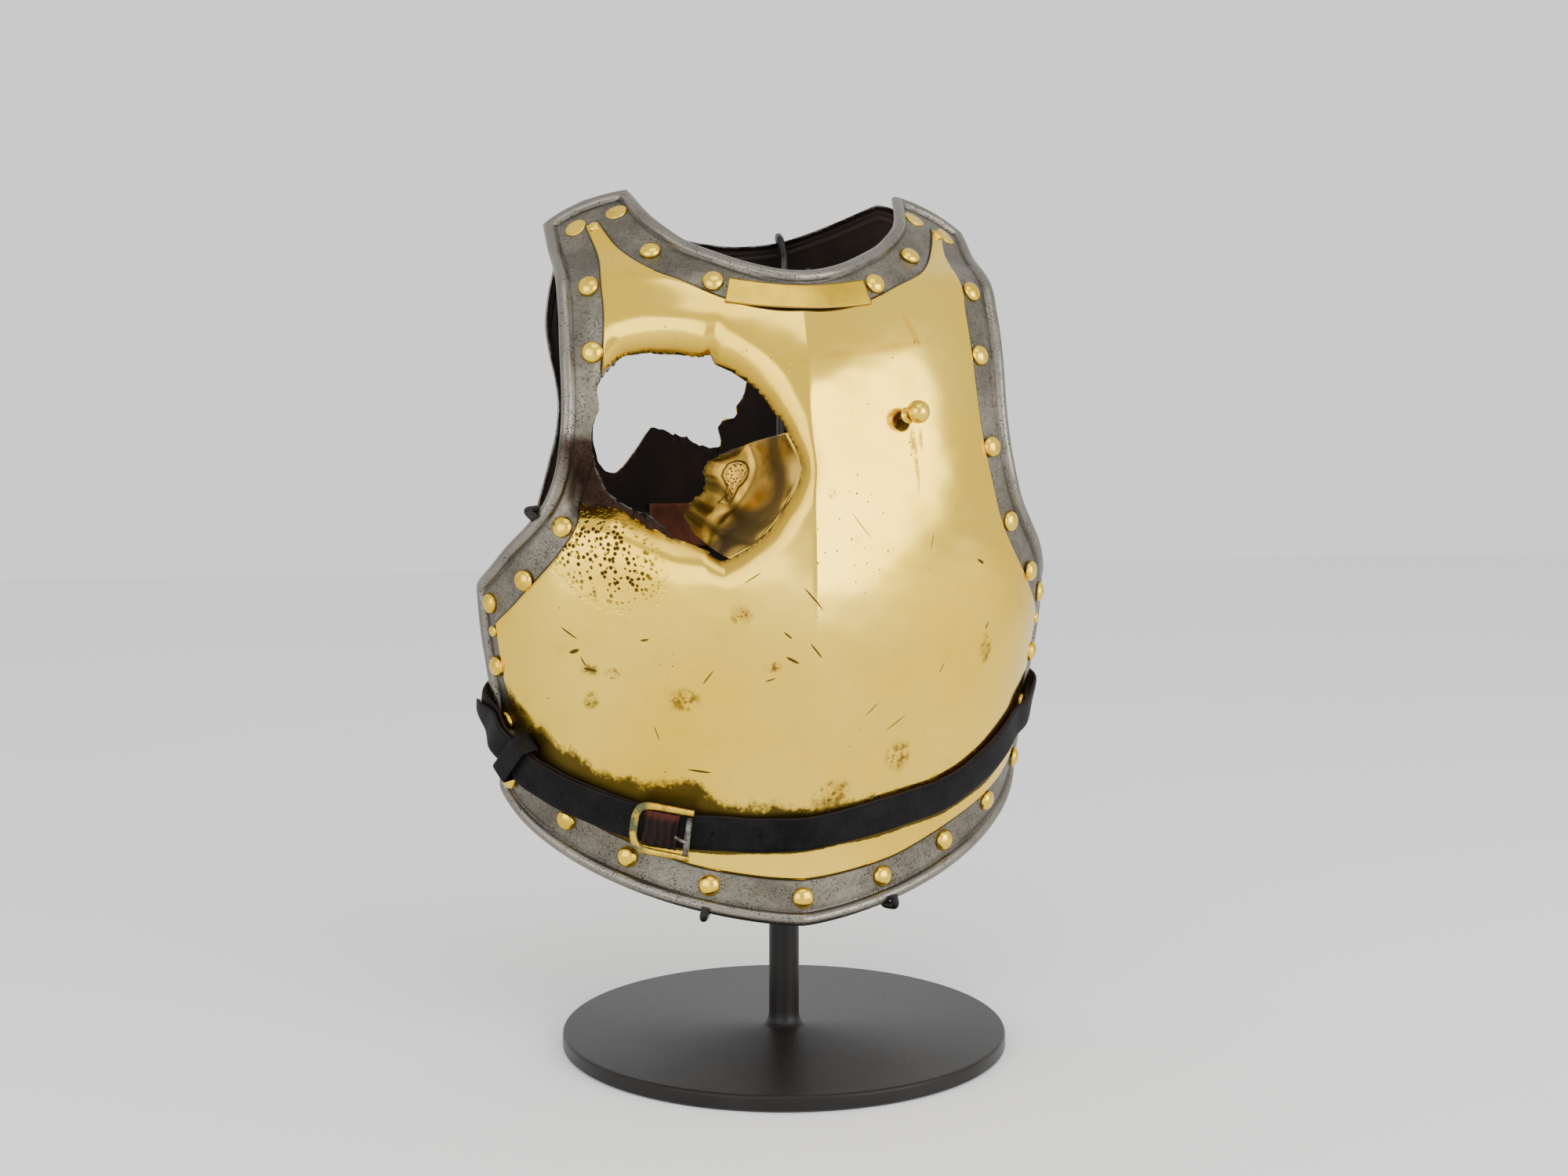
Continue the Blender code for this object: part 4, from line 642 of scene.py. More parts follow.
BRUISES = [
    (-126, 243, 5, 3.5, 0), (-114, 241, 4, 3.5, 0), (-125, 224, 4, 5, 0), (-73, 226, 8, 6.5, 0),
    (-42, 278, 6, 5.5, 20), (124, 250, 4, 9, 0), (61, 187, 9, 8, 60), (15, 167, 12, 8.5, 20),
    (10, 351, 5, 4, 0), (-24, 247, 5, 3, 0),
]


def polished_brass(name, marked):
    """Pale gold, blotched, scratched and pitted; marked adds the front's own marks."""
    paint = Paint(name, (0.86, 0.68, 0.33), 0.14, 1.0)
    cloud, fine = paint.noise(9.0, 4.0), paint.noise(60.0, 4.0, 0.65)
    colour = paint.mix(cloud.rise(0.35, 0.70), (0.91, 0.625, 0.080), (0.82, 0.525, 0.035))
    colour = paint.mix(fine.rise(0.55, 0.80) * 0.30, colour, (0.62, 0.34, 0.02))
    specks = paint.cells(170.0).rise(0.13, 0.05) * paint.noise(22.0).rise(0.52, 0.64)
    hair = (paint.cells(58.0, (1.0, 1.0, 0.06)).rise(0.035, 0.0)
            + paint.cells(64.0, (0.07, 1.0, 1.0)).rise(0.03, 0.0)) * paint.noise(14.0).rise(0.5, 0.7)
    dark = specks * 0.8
    height = (fine - 0.5) * 0.05 - specks * 0.6 - hair * 0.15
    rough = 0.13 + cloud.rise(0.45, 0.75) * 0.07 + fine.rise(0.4, 0.8) * 0.06
    if marked:
        rip = paint.noise(420.0, 2.0, 0.6)
        warp = paint.noise(70.0, 4.0, 0.7) - 0.5
        for line in streaks(paint, SCRATCHES):
            dark = dark.top(line * 0.95)
            height = height - line * 0.9
        bruise = reduce(Value.top, streaks(paint, BRUISES, 0.9))
        grit = bruise * paint.noise(230.0, 3.0, 0.7).rise(0.50, 0.60)
        dark = dark.top(grit * 0.75)
        stains_and_dish_shade = bruise * (0.30 + warp).rise(0.12, 0.55)
        pits = (paint.cells(330.0).rise(0.46, 0.32) * streaks(paint, PITTED, 0.6)[0]
                * paint.noise(150.0).rise(0.40, 0.47))
        dark = dark.top(pits)
        height = height - pits
        stains_and_dish_shade = stains_and_dish_shade.top(sum(streaks(paint, RIPPLES, 0.8)) * 0.7)
        belt = paint.mark("belt") + warp * 0.55 + (rip - 0.5) * 0.20
        # painted shadow: on the right the small reach leaves a thin dark band along the belt's top
        # edge, a painted shadow of the belt; further left it is the belt's real patina
        patina_and_belt_shadow = belt.rise(0.62, 0.42)
        drips = sum(streaks(paint, DRIPS, 0.9)) * rip.rise(0.30, 0.5)
        stains_and_dish_shade = stains_and_dish_shade.top(drips * 0.9)
        dark = dark.top(streaks(paint, STUD_SHADOW, 0.3)[0] * (0.60 + rip * 0.8))
        # painted shade: dark streaks within 3 mm of the torn edge stand for the shading of the bent
        # facets there
        torn_edge_shading = paint.mark("torn").rise(0.0030, 0.0) * paint.noise(200.0).rise(0.35, 0.6)
        # painted shade: browner within 16 mm of the torn edge, the shading of the dish's roll towards
        # the hole
        stains_and_dish_shade = stains_and_dish_shade.top(paint.mark("torn").rise(0.016, 0.0) * 0.75)
        edge_line = paint.mark("edge").rise(0.0014, 0.0002)
        # brown for the real stains, and for the painted shade of the dish by the torn edge
        colour = paint.mix(stains_and_dish_shade * 0.80, colour, (0.34, 0.17, 0.012))
        colour = paint.mix(patina_and_belt_shadow * 0.93, colour,
                           paint.mix(warp + 0.5, (0.010, 0.009, 0.003), (0.052, 0.034, 0.009)))
        dark = dark.top(torn_edge_shading * 0.5).top(edge_line * 0.85)
        rough = rough + stains_and_dish_shade * 0.16 + patina_and_belt_shadow * 0.30 + dark * 0.2
    colour = paint.mix(dark, colour, (0.045, 0.024, 0.006))
    return paint.finish(colour, rough, height, 0.0004)


brass_front = polished_brass("polished_brass", True)
brass_back = polished_brass("brass_of_the_back", False)


# %% [markdown]
# The steel border was once bright. Now it is grey and finely pitted. The rolled bead, which hands
# and cloths rub, is smoother, and a painted highlight makes its colour a little lighter. Inside,
# the plates are nearly black, with rust where the wall was bent in at the hole.

# %% Steel outside and inside
def border_steel():
    paint = Paint("border_steel", (0.40, 0.39, 0.38), 0.38, 1.0)
    cloud, grain = paint.noise(26.0, 4.0, 0.6), paint.noise(420.0, 5.0, 0.75)
    pits = paint.cells(760.0).rise(0.36, 0.16) * paint.noise(110.0, 3.0).rise(0.40, 0.58)
    bead = paint.mark("edge").rise(0.0095, 0.0070)
    colour = paint.mix(cloud.rise(0.32, 0.70), (0.132, 0.117, 0.090), (0.235, 0.214, 0.170))
    colour = paint.mix(grain.rise(0.40, 0.72) * 0.60, colour, (0.060, 0.054, 0.044))
    # painted highlight: the bead's colour is a little lighter than the rest of the border
    colour = paint.mix(bead * 0.60, colour, (0.235, 0.222, 0.190))
    funnel = paint.mark("funnel")
    rust = (funnel * (0.9 + cloud * 1.3)).math("MINIMUM", 0.96)
    colour = paint.mix(rust, colour, paint.mix(grain.rise(0.35, 0.7), (0.022, 0.012, 0.009),
                                               (0.060, 0.032, 0.022)))
    groove = paint.mark("edge").rise(0.0100, 0.0088) * paint.mark("edge").rise(0.0072, 0.0086)
    seam = paint.mark("brass").rise(0.0012, 0.0)
    dark = (pits * 0.85).top(groove * 0.55).top(seam * 0.8)
    colour = paint.mix(dark, colour, (0.018, 0.015, 0.014))
    rough = 0.34 + cloud * 0.16 + grain * 0.10 - bead * 0.14 + rust * 0.25
    height = grain * 0.35 + cloud * 0.5 - pits * 0.9
    return paint.finish(colour, rough, height, 0.00035)


def inner_steel():
    paint = Paint("inside_of_the_plates", (0.06, 0.045, 0.04), 0.55, 0.4, 0.2)
    cloud, grain = paint.noise(14.0, 5.0, 0.6), paint.noise(240.0, 4.0, 0.7)
    colour = paint.mix(cloud.rise(0.38, 0.68), (0.007, 0.0050, 0.0040), (0.020, 0.010, 0.006))
    colour = paint.mix(grain.rise(0.60, 0.78) * 0.6, colour, (0.032, 0.017, 0.010))
    return paint.finish(colour, 0.42 + cloud * 0.3, grain, 0.0003)


def two_tone(paint, cloud, grain, span, tones, rough, depth):
    """Two tones mixed by a cloud. Roughness = a + b cloud + c grain, and the grain is the height."""
    colour = paint.mix(cloud.rise(*span), *tones)
    return paint.finish(colour, rough[0] + cloud * rough[1] + grain * rough[2], grain, depth)


def torn_steel():
    paint = Paint("torn_steel_edge", (0.42, 0.41, 0.40), 0.35, 1.0)
    return two_tone(paint, paint.noise(90.0, 4.0, 0.7), paint.noise(500.0), (0.42, 0.66),
                    ((0.025, 0.018, 0.014), (0.15, 0.142, 0.13)), (0.3, 0.2, 0.0), 0.0003)


steel, inside, torn_edge = border_steel(), inner_steel(), torn_steel()


# %% [markdown]
# ## The four plates
# The steel starts at its outline. Its first rings trace the bead, which stands as half an ellipse
# over its own width, and a shallow groove follows. The brass lies on the steel inside the border.
# Points inside the torn edge are dropped, and the last ones are drawn out to it, which leaves a
# ragged but clean hole.

# %% Torn edges as functions of bearing
def brass_tear(bearing):
    return HOLE_RADIUS * around(bearing, ENTRY, 1) + jag(bearing, 0.00022, 3)


def steel_tear(bearing):
    return HOLE_RADIUS * around(bearing, ENTRY, 2) + jag(bearing, 0.00040, 5)


def exit_tear(bearing):
    return EXIT_RADIUS * around(bearing, EXIT, 1) + jag(bearing, 0.0007, 7)


def belt_height(x):
    """Rough height of the belt's top edge across the front: straight runs between a table's points."""
    xs = np.array([-0.170, -0.160, -0.145, -0.120, -0.090, -0.050, -0.010, 0.05, 0.10, 0.13, 0.16])
    zs = np.array([0.205, 0.186, 0.178, 0.169, 0.161, 0.157, 0.158, 0.163, 0.172, 0.186, 0.208])
    return np.interp(x, xs, zs)


def hammered(points):
    """The plate's slow unevenness: wobbles of about 85 and 24 mm, half a millimetre and less."""
    x, z = points[:, 0], points[:, 2]
    return 0.00045 * wobble(x, z, 0.085, 11) + 0.00008 * wobble(x, z, 0.024, 12)


def patina_and_shadow_mark(points):
    """Mark = 0.5 + (height above the belt - reach) / 40 mm: 0 in the tarnish, 1 clear above it.

    Reach says how far the tarnish climbs above the belt's edge. On the right the reach is about
    nothing, and the thin dark band left along the belt's edge is a painted shadow of the belt. Under
    the belt the mark rises again.
    """
    above = points[:, 2] - belt_height(points[:, 0])
    xs = [-0.17, -0.150, -0.125, -0.10, -0.078, -0.07, -0.05, 0.0, 0.02, 0.04, 0.17]
    reaches = [0.022, 0.020, 0.013, 0.010, 0.016, 0.019, 0.005, 0.000, 0.0010, -0.003, -0.004]
    mark = 0.5 + (above - np.interp(points[:, 0], xs, reaches)) / 0.040
    under_belt = (-0.026 - above) / 0.004
    return np.clip(np.maximum(mark, under_belt), 0, 1.5)


# %% The steel walls
def steel_skin(name, plate, edges, brass, counts, wall_thickness, tear, middle, bead_of, node):
    """Rings over the bead and border, then the grid under the brass, all one sheet with a wall.

    The bead stands height sqrt(1 - (2t - 1)2), where t is the distance in from the outline over the
    bead's width. The groove beside it is a bell curve.
    """
    outer = loop_of(*four_sides(plate, edges, counts))
    sides = four_sides(plate, brass, counts)
    grid = coons(*sides)
    rows, columns = grid.shape[:2]
    grid = grid.reshape(-1, 2)
    numbers = loop_numbers(rows, columns)
    inner = grid[numbers]
    gap = np.linalg.norm(plate.point(inner) - plate.point(outer), axis=1)
    near = BEAD_WIDTH / 2 * (1 - np.cos(np.linspace(0, math.pi, 15)))
    near = np.concatenate([near, GROOVE_RINGS])
    share = near[:, None] / gap[None]
    far = np.linspace(0, 1, 9)[1:-1, None]
    share = np.concatenate([share, share[-1:] + (1 - share[-1:]) * far])
    rings = outer[None] * (1 - share[..., None]) + inner[None] * share[..., None]
    count = len(outer)
    places = np.concatenate([rings.reshape(-1, 2), grid])
    first = len(share) * count
    faces = grid_faces(len(share), count, wrap_columns=True)
    last = (len(share) - 1) * count + np.arange(count)
    join = np.stack([last, np.roll(last, -1), np.roll(numbers + first, -1), numbers + first], -1)
    faces = np.concatenate([faces, join, grid_faces(rows, columns) + first])
    places, faces = torn(plate, places, faces, middle, tear)
    points, normals = plate.point(places), plate.normal(places)
    edge = edge_distance(points, plate.point(outer))
    t = np.clip(edge / BEAD_WIDTH, 0, 1)
    bead = bead_of(places) * np.sqrt(np.clip(1 - (2 * t - 1) ** 2, 0, 1))
    groove = GROOVE_DEPTH * np.exp(-((edge - GROOVE_AT) / GROOVE_WIDTH) ** 2)
    groove = groove * bead_of(places) / BEAD_HEIGHT
    lift = bead - groove + hammered(points)
    reach, bearing = polar(points[:, 0], points[:, 2], middle)
    reach = reach - tear(bearing)
    funnel = np.zeros(len(points))
    if plate is front:
        side = np.where(bearing < 0, smooth((-bearing - 88) / 24), smooth((bearing - 168) / 8))
        funnel = side * smooth(1 - reach / 0.030)
    brass_gap = edge_distance(points, plate.point(inner))
    points = points + normals * lift[:, None]
    faces = facing_out(points, faces, normals)
    piece = make_piece(name, points, faces, [steel, inside, torn_edge], [node], "steel",
                       {"edge": edge, "funnel": funnel, "brass": brass_gap})
    wall(piece, wall_thickness, 1, 2)
    return piece


def front_bead(places):
    return BEAD_HEIGHT + 0 * places[:, 0]


def back_bead(places):
    return BEAD_HEIGHT * smooth((0.86 * BACK_SIDE_ANGLE - np.degrees(np.abs(places[:, 0]))) / 5)


FINE_FRONT, FINE_BACK = (170, 30, 75, 16), (120, 24, 60, 12)
breast_steel = steel_skin("breast_steel", front, front_edges, front_brass_edges, FINE_FRONT,
                          FRONT_STEEL, steel_tear, HOLE_MIDDLE, front_bead,
                          "breastplate_steel")
back_steel = steel_skin("back_steel", back, back_edges, back_brass_edges, FINE_BACK, BACK_STEEL,
                        exit_tear, EXIT_MIDDLE, back_bead, "backplate_steel")


# %% The brass facings
def brass_skin(name, plate, brass, counts, tear, middle, material, node):
    """The grid alone, lifted by its fit and thickness, with an edge that falls off softly."""
    grid = coons(*four_sides(plate, brass, counts))
    rows, columns = grid.shape[:2]
    faces = grid_faces(rows, columns)
    numbers = loop_numbers(rows, columns)
    rim_line = plate.point(grid.reshape(-1, 2)[numbers])
    places, faces = torn(plate, grid.reshape(-1, 2), faces, middle, tear)
    points, normals = plate.point(places), plate.normal(places)
    reach, bearing = polar(points[:, 0], points[:, 2], middle)
    reach = reach - tear(bearing)
    edge = edge_distance(points, rim_line)
    lift = hammered(points) + FIT + BRASS - EDGE_FALL * smooth(1 - edge / EDGE_BAND)
    marks = {"edge": edge, "torn": np.maximum(reach, 0), "belt": patina_and_shadow_mark(points)}
    points = points + normals * lift[:, None]
    faces = facing_out(points, faces, normals)
    piece = make_piece(name, points, faces, [material], [node], "brass", marks)
    wall(piece, BRASS)
    return piece


breast_brass = brass_skin("breast_brass", front, front_brass_edges, (230, 44, 106, 24),
                          brass_tear, HOLE_MIDDLE, brass_front, "breastplate_brass")
back_brass = brass_skin("back_brass", back, back_brass_edges, (110, 24, 56, 12), exit_tear,
                        EXIT_MIDDLE, brass_back, "backplate_brass")


# %% [markdown]
# ## Turned pieces
# Rivets, the stud and the post are turned: a profile of radius and height goes round an axis. All
# rivets of the border are one piece, made from one profile set on the metal at each place.

# %% Turning a profile round an axis
def turned_points(profile, sides):
    """Point (i, k) = (r_i cos t_k, r_i sin t_k, h_i)."""
    profile = np.asarray(profile, float)
    turn = np.arange(sides) * math.tau / sides
    return np.stack([profile[:, :1] * np.cos(turn), profile[:, :1] * np.sin(turn),
                     profile[:, 1:] + 0 * turn], -1)


def axes_on(normal):
    """Side, up and normal unit vectors for standing a turned shape on a surface."""
    normal = np.atleast_2d(normal)
    side = unit(np.cross([0.0, 0.3, 1.0], normal))
    return np.stack([side, np.cross(normal, side), normal], 1)


def set_on(shape, point, normal):
    """Every shape point carried to each place: place + x side + y up + z normal."""
    frames = axes_on(normal)
    return np.einsum("...i,pij->p...j", shape, frames) + np.atleast_2d(point).reshape(
        -1, *([1] * (shape.ndim - 1)), 3)


def tree_of(*pieces):
    """Search trees over pieces as they are shown."""
    graph = bpy.context.evaluated_depsgraph_get()
    return [BVHTree.FromObject(piece, graph) for piece in pieces]


def seat_height(points, normal, trees, reach=0.03):
    """How far the highest surface under some points stands above each, along the normal."""
    direction = Vector(normal)
    best = -0.002
    for point in points:
        for tree in trees:
            hit = tree.ray_cast(Vector(point) + direction * reach, -direction, reach * 2)[0]
            if hit is not None:
                best = max(best, (hit - Vector(point)).dot(direction))
    return best


bpy.context.view_layer.update()
metal_trees = tree_of(breast_steel, breast_brass)
# the edge, the share along it, how far in by borders, and the kind of head
edge_rivets = [
    ("bottom", 0.132, 0.80, "dome"), ("bottom", 0.237, 0.66, "dome"), ("bottom", 0.362, 0.60, "dome"),
    ("side", 0.09, 0.72, "dome"), ("side", 0.35, 0.80, "dome"), ("side", 0.61, 0.76, "dome"),
    ("side", 0.78, 0.86, "small"), ("side", 0.91, 0.78, "dome"),
    ("arm", 0.14, 0.90, "dome"), ("arm", 0.272, 0.68, "dome"), ("arm", 0.406, 0.73, "dome"),
    ("arm", 0.588, 0.76, "dome"), ("arm", 0.728, 0.76, "dome"),
    ("top", 0.336, 0.88, "flat"), ("top", 0.88, 0.84, "flat"), ("top", 0.58, 1.26, "small"),
    ("neck", 0.208, 0.68, "dome"), ("neck", 0.361, 0.80, "dome")]


def rivet_place(plate, edges, border, edge, share, inset):
    path = plate.even(edges[edge], SAMPLES - 1)
    at = share * (SAMPLES - 1)
    near = np.stack([np.interp([at - 1, at, at + 1], np.arange(SAMPLES), path[:, i])
                     for i in (0, 1)], -1)
    return plate.inset(near, inset * border[edge])[1]


def head_profile(head):
    """A low dome whose foot turns in a little, or a flat disc with a soft edge."""
    if head == "flat":
        r, h = 0.0071, 0.0014
        return [(0, 0), (r, 0), (r, h * 0.55), (r * 0.97, h * 0.85), (r * 0.90, h), (r * 0.5, h * 1.1),
                (0, h * 1.12)]
    r, h = (0.0067, 0.0048) if head == "dome" else (0.0037, 0.0026)
    angle = np.radians(np.linspace(0, 90, 10))
    return ([(0, 0), (r * 0.93, 0), (r * 0.985, h * 0.06)]
            + [(r * math.cos(a), h * (0.16 + 0.84 * math.sin(a))) for a in angle[:-1]] + [(0, h)])


# %% The border's rivets
def joined(parts):
    """Several (points, faces) pairs as one pair."""
    points, faces, total = [], [], 0
    for p, f in parts:
        p = np.asarray(p).reshape(-1, 3)
        points.append(p)
        faces.append(f + total)
        total += len(p)
    return np.concatenate(points), np.concatenate(faces)


def rivets(name, plate, edges, border, rows, trees, lost, nodes, centre=None):
    """One mesh of all rivet heads, each seated on the highest metal under it."""
    parts, places = [], []
    for edge, share, inset, head in rows:
        place = rivet_place(plate, edges, border, edge, share, inset)
        places += [(head, place * np.array([side, 1])) for side in (-1, 1)
                   if not (side * place[0] < 0 and (edge, share) == lost)]
    if centre:
        places.append(("dome", rivet_place(plate, edges, border, "bottom", 0.5, centre)))
    for head, place in places:
        shape = turned_points(head_profile(head), 28)
        point, normal = plate.point(place), plate.normal(place)
        rim = set_on(shape[2:3], point, normal).reshape(-1, 3)[::4]
        lift = seat_height(rim, normal, trees)
        parts.append((set_on(shape, point + normal * lift, normal),
                      grid_faces(len(shape), 28, wrap_columns=True)))
    return make_piece(name, *joined(parts), [rivet_brass], nodes, "rivet_brass")


def rivet_finish():
    paint = Paint("rivet_brass", (0.86, 0.66, 0.30), 0.16, 1.0)
    cloud, fine = paint.noise(60.0), paint.noise(380.0, 3.0, 0.6)
    colour = paint.mix(cloud.rise(0.4, 0.7), (0.86, 0.58, 0.055), (0.66, 0.41, 0.025))
    specks = paint.cells(500.0).rise(0.16, 0.06) * paint.noise(90.0).rise(0.5, 0.62)
    colour = paint.mix(specks * 0.8, colour, (0.12, 0.07, 0.03))
    return paint.finish(colour, 0.14 + fine * 0.14, fine * 0.2 - specks, 0.0002)


rivet_brass = rivet_finish()
rivet_nodes = sorted(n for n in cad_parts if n.startswith("rivet_"))
border_rivets = rivets("border_rivets", front, front_edges, BORDER, edge_rivets, metal_trees,
                       ("arm", 0.406), rivet_nodes, 0.61)
rivets("back_rivets", back, back_edges, BACK_BORDER,
       [("bottom", s, 0.62, "dome") for s in (0.14, 0.26, 0.38)]
       + [("side", s, 0.72, "dome") for s in (0.30, 0.75)]
       + [("arm", s, 0.66, "small") for s in (0.12, 0.28, 0.44, 0.60, 0.76, 0.92)]
       + [("top", 0.5, 0.8, "flat"), ("neck", 0.16, 0.66, "small"),
          ("neck", 0.33, 0.66, "small")],
       tree_of(back_steel, back_brass), None, [], 0.62)


# %% The strap stud, with its foot washer
place = front.place(*STUD_PLACE)
ball = np.radians(np.linspace(-64, 90, 16))
NECK_RADIUS, BALL_RADIUS, BALL_HEIGHT = 0.0031, 0.0071, 0.0119
# radius and height: the washer, the thin neck, the ball
stud_profile = ([(0, 0), (0.0050, 0), (0.0052, 0.0008), (0.0046, 0.0016), (NECK_RADIUS, 0.0026),
                 (NECK_RADIUS, 0.0050)]
                + [(BALL_RADIUS * math.cos(a), BALL_HEIGHT + BALL_RADIUS * math.sin(a))
                   for a in ball[:-1]]
                + [(0, BALL_HEIGHT + BALL_RADIUS)])
shape = turned_points(stud_profile, 40)
normal = front.normal(place)
lift = seat_height(set_on(shape[2:3], front.point(place), normal).reshape(-1, 3)[::5], normal,
                   metal_trees)
make_piece("strap_stud", set_on(shape, front.point(place) + normal * lift, normal),
           grid_faces(len(shape), 40, wrap_columns=True), [rivet_brass], ["chest_stud"],
           "rivet_brass")


# %% [markdown]
# ## Plaque and tag
# The little plate on the neck border is a strip bent to the breast. It was lettered once; here it
# is bare. The tag inside the backplate is a scrap of stiff leather.

# %% A bent strip and a flat tag
def plaque_finish():
    paint = Paint("plaque_brass", (0.78, 0.46, 0.03), 0.28, 1.0)
    cloud, fine = paint.noise(40.0, 4.0), paint.noise(520.0, 3.0, 0.6)
    colour = paint.mix(cloud.rise(0.35, 0.7), (0.72, 0.47, 0.030), (0.56, 0.34, 0.015))
    edge = paint.mark("edge").rise(0.0011, 0.0003)
    colour = paint.mix(edge * 0.75, colour, (0.16, 0.09, 0.03))
    return paint.finish(colour, 0.24 + fine * 0.16 + edge * 0.2, fine, 0.0001)


u, v = np.linspace(0, 1, 90)[None, :], np.linspace(0, 1, 16)[:, None]
PLAQUE_MIDDLE, PLAQUE_REACH, PLAQUE_TAPER = 0.1, 14.6, 1.2
PLAQUE_LOW, PLAQUE_RISE, PLAQUE_SAG, PLAQUE_NOTCH = 0.8285, 0.0320, 0.0085, 0.006
angle = PLAQUE_MIDDLE + (2 * u - 1) * (PLAQUE_REACH - PLAQUE_TAPER * v)
share = PLAQUE_LOW + PLAQUE_RISE * v - (1 - (2 * u - 1) ** 2) * PLAQUE_SAG
share = share - PLAQUE_NOTCH * np.exp(-((u - 0.50) / 0.018) ** 2) * smooth((v - 0.8) / 0.2)
places = front.place(angle, share).reshape(-1, 2)
points, normals = front.point(places), front.normal(places)
lift = np.array([seat_height([p], n, metal_trees) for p, n in zip(points[::15], normals[::15])]).max()
grid = points.reshape(16, 90, 3)
bend = np.stack([[np.polyval(np.polyfit(u[0], row[:, i], 4), u[0]) for i in range(3)] for row in grid])
bend = bend.transpose(0, 2, 1).reshape(-1, 3)
lift += max(0.0, ((points - bend) * normals).sum(1).max())
points = bend + normals * (lift + 0.0002)
border = np.minimum(np.minimum(u, 1 - u) * PLAQUE_LENGTH, np.minimum(v, 1 - v) * PLAQUE_WIDTH)
plaque = make_piece("bare_plaque", points, facing_out(points, grid_faces(16, 90), normals),
                    [plaque_finish()], ["plaque"], "plaque", {"edge": border})
wall(plaque, 0.0008)


def leather_tag():
    paint = Paint("tag_leather", (0.09, 0.027, 0.012), 0.75, 0.0, 0.15)
    return two_tone(paint, paint.noise(60.0, 4.0), paint.cells(420.0), (0.35, 0.65),
                    ((0.115, 0.034, 0.014), (0.060, 0.018, 0.009)), (0.65, 0.2, 0.0), 0.0002)


u, v = np.linspace(0, 1, 24)[None, :], np.linspace(0, 1, 16)[:, None]
place = back.place(*TAG_PLACE)
inward = -back.normal(place)
side = unit(np.cross([0.0, 0.0, 1.0], inward))
up = np.cross(inward, side)
offset = (u[..., None] - 0.5) * TAG_LENGTH * side + (v[..., None] - 0.5) * TAG_WIDTH * up
curl = 0.0012 * ((2 * u - 1) ** 4 + (2 * v - 1) ** 4)[..., None] * inward
points = (back.point(place) + inward * 0.0030 + offset + curl).reshape(-1, 3)
tag = make_piece("bare_tag", points, facing_out(points, grid_faces(16, 24),
                                               np.tile(inward, (len(points), 1))),
                 [leather_tag()], ["label_tag"], "tag")
wall(tag, 0.0010)


# %% [markdown]
# ## The folded tongue
# The ball tore a tongue of brass loose and folded it into the body. Its surface runs from the torn
# edge through a table of middle points to its free end, as smooth curves both ways. The round
# boss with its keyhole-shaped rim is pressed up, creases are sharp valleys, and the free edge is
# gnawed.

# %% The tongue of brass
def tarnished_brass():
    paint = Paint("tarnished_brass", (0.30, 0.18, 0.04), 0.26, 1.0)
    cloud, grain = paint.noise(30.0, 3.0, 0.55), paint.noise(330.0, 4.0, 0.72)
    colour = paint.mix(cloud.rise(0.38, 0.62), (0.46, 0.27, 0.040), (0.12, 0.065, 0.010))
    root = paint.mark("root").rise(0.50, 0.16)
    colour = paint.mix(root * 0.9, colour, (0.88, 0.55, 0.065))
    fold = paint.mark("fold").rise(0.25, 0.9)
    pitted = paint.mark("ring") * paint.cells(620.0).rise(0.45, 0.15)
    rim = paint.mark("gnawed").rise(0.09, 0.0)
    dark = (pitted * 0.8).top(rim * grain.rise(0.35, 0.6)).top(fold * 0.8)
    dark = dark.top(paint.mark("line").rise(0.3, 0.9) * 0.75)
    colour = paint.mix(dark, colour, (0.030, 0.016, 0.005))
    rough = 0.20 + cloud.rise(0.4, 0.6) * 0.16 - root * 0.06 + dark * 0.2
    return paint.finish(colour, rough, grain * 0.16 - pitted * 0.8, 0.0004)


centre = np.array([HOLE_X, -0.375 * DEPTH, HOLE_Z])
lines = []
for bearing, mid, end in FLAP:
    edge, turn = HOLE_RADIUS * around(bearing, ENTRY, 1) - 0.0007, math.radians(bearing)
    root = front.point(front.under(HOLE_X + edge * math.cos(turn), HOLE_Z + edge * math.sin(turn)))
    middle_point, end_point = (centre + HOLE_RADIUS * np.array([p[0], p[2], p[1]])
                               for p in (mid, end))
    lines.append([root, root * 0.8 + middle_point * 0.2, middle_point,
                  (middle_point + end_point) / 2, end_point])
lines = np.array(lines)
fine_v, fine_u = np.linspace(0, 4, 110), np.linspace(0, 4, 110)
along = np.stack([np.stack([curve_through(fine_u, np.arange(5.0), line[:, i]) for i in range(3)], -1)
                  for line in lines])
tongue = np.stack([np.stack([curve_through(fine_v, np.arange(5.0), along[:, k, i])
                             for k in range(along.shape[1])], 1) for i in range(3)], -1)
V, U = np.meshgrid(fine_v / 4, fine_u / 4, indexing="ij")
gnaw = 0.045 * np.sin(V * 23 + 1) + 0.020 * np.sin(V * 61) + 0.012 * np.sin(V * 127 + 2)
du, dv = np.gradient(tongue, axis=1), np.gradient(tongue, axis=0)
tongue = tongue + du * (110 * 0.5 * gnaw * smooth((U - 0.6) / 0.4))[..., None]
normals = unit(np.cross(du, dv))
normals = normals * np.where(normals[..., 1:2] > 0, -1, 1)
boss = np.hypot((V - 0.30) / 0.26, (U - 0.74) / 0.30)
key = np.minimum(np.hypot(V - 0.30, U - 0.70) - 0.092,
                 np.maximum(np.abs(U - 0.69) - 0.034, np.abs(V - 0.44) - 0.085))
outline_of_key = np.exp(-(key / 0.013) ** 2)
rise = 0.0026 * smooth(1.25 - boss) + 0.0009 * outline_of_key
crease = (np.abs(V - 0.52 - 0.10 * np.sin(U * 5)) * 14, np.abs(V - 0.80 + 0.06 * U) * 18,
          np.abs(U - 0.33 - 0.05 * np.sin(V * 9)) * 12)
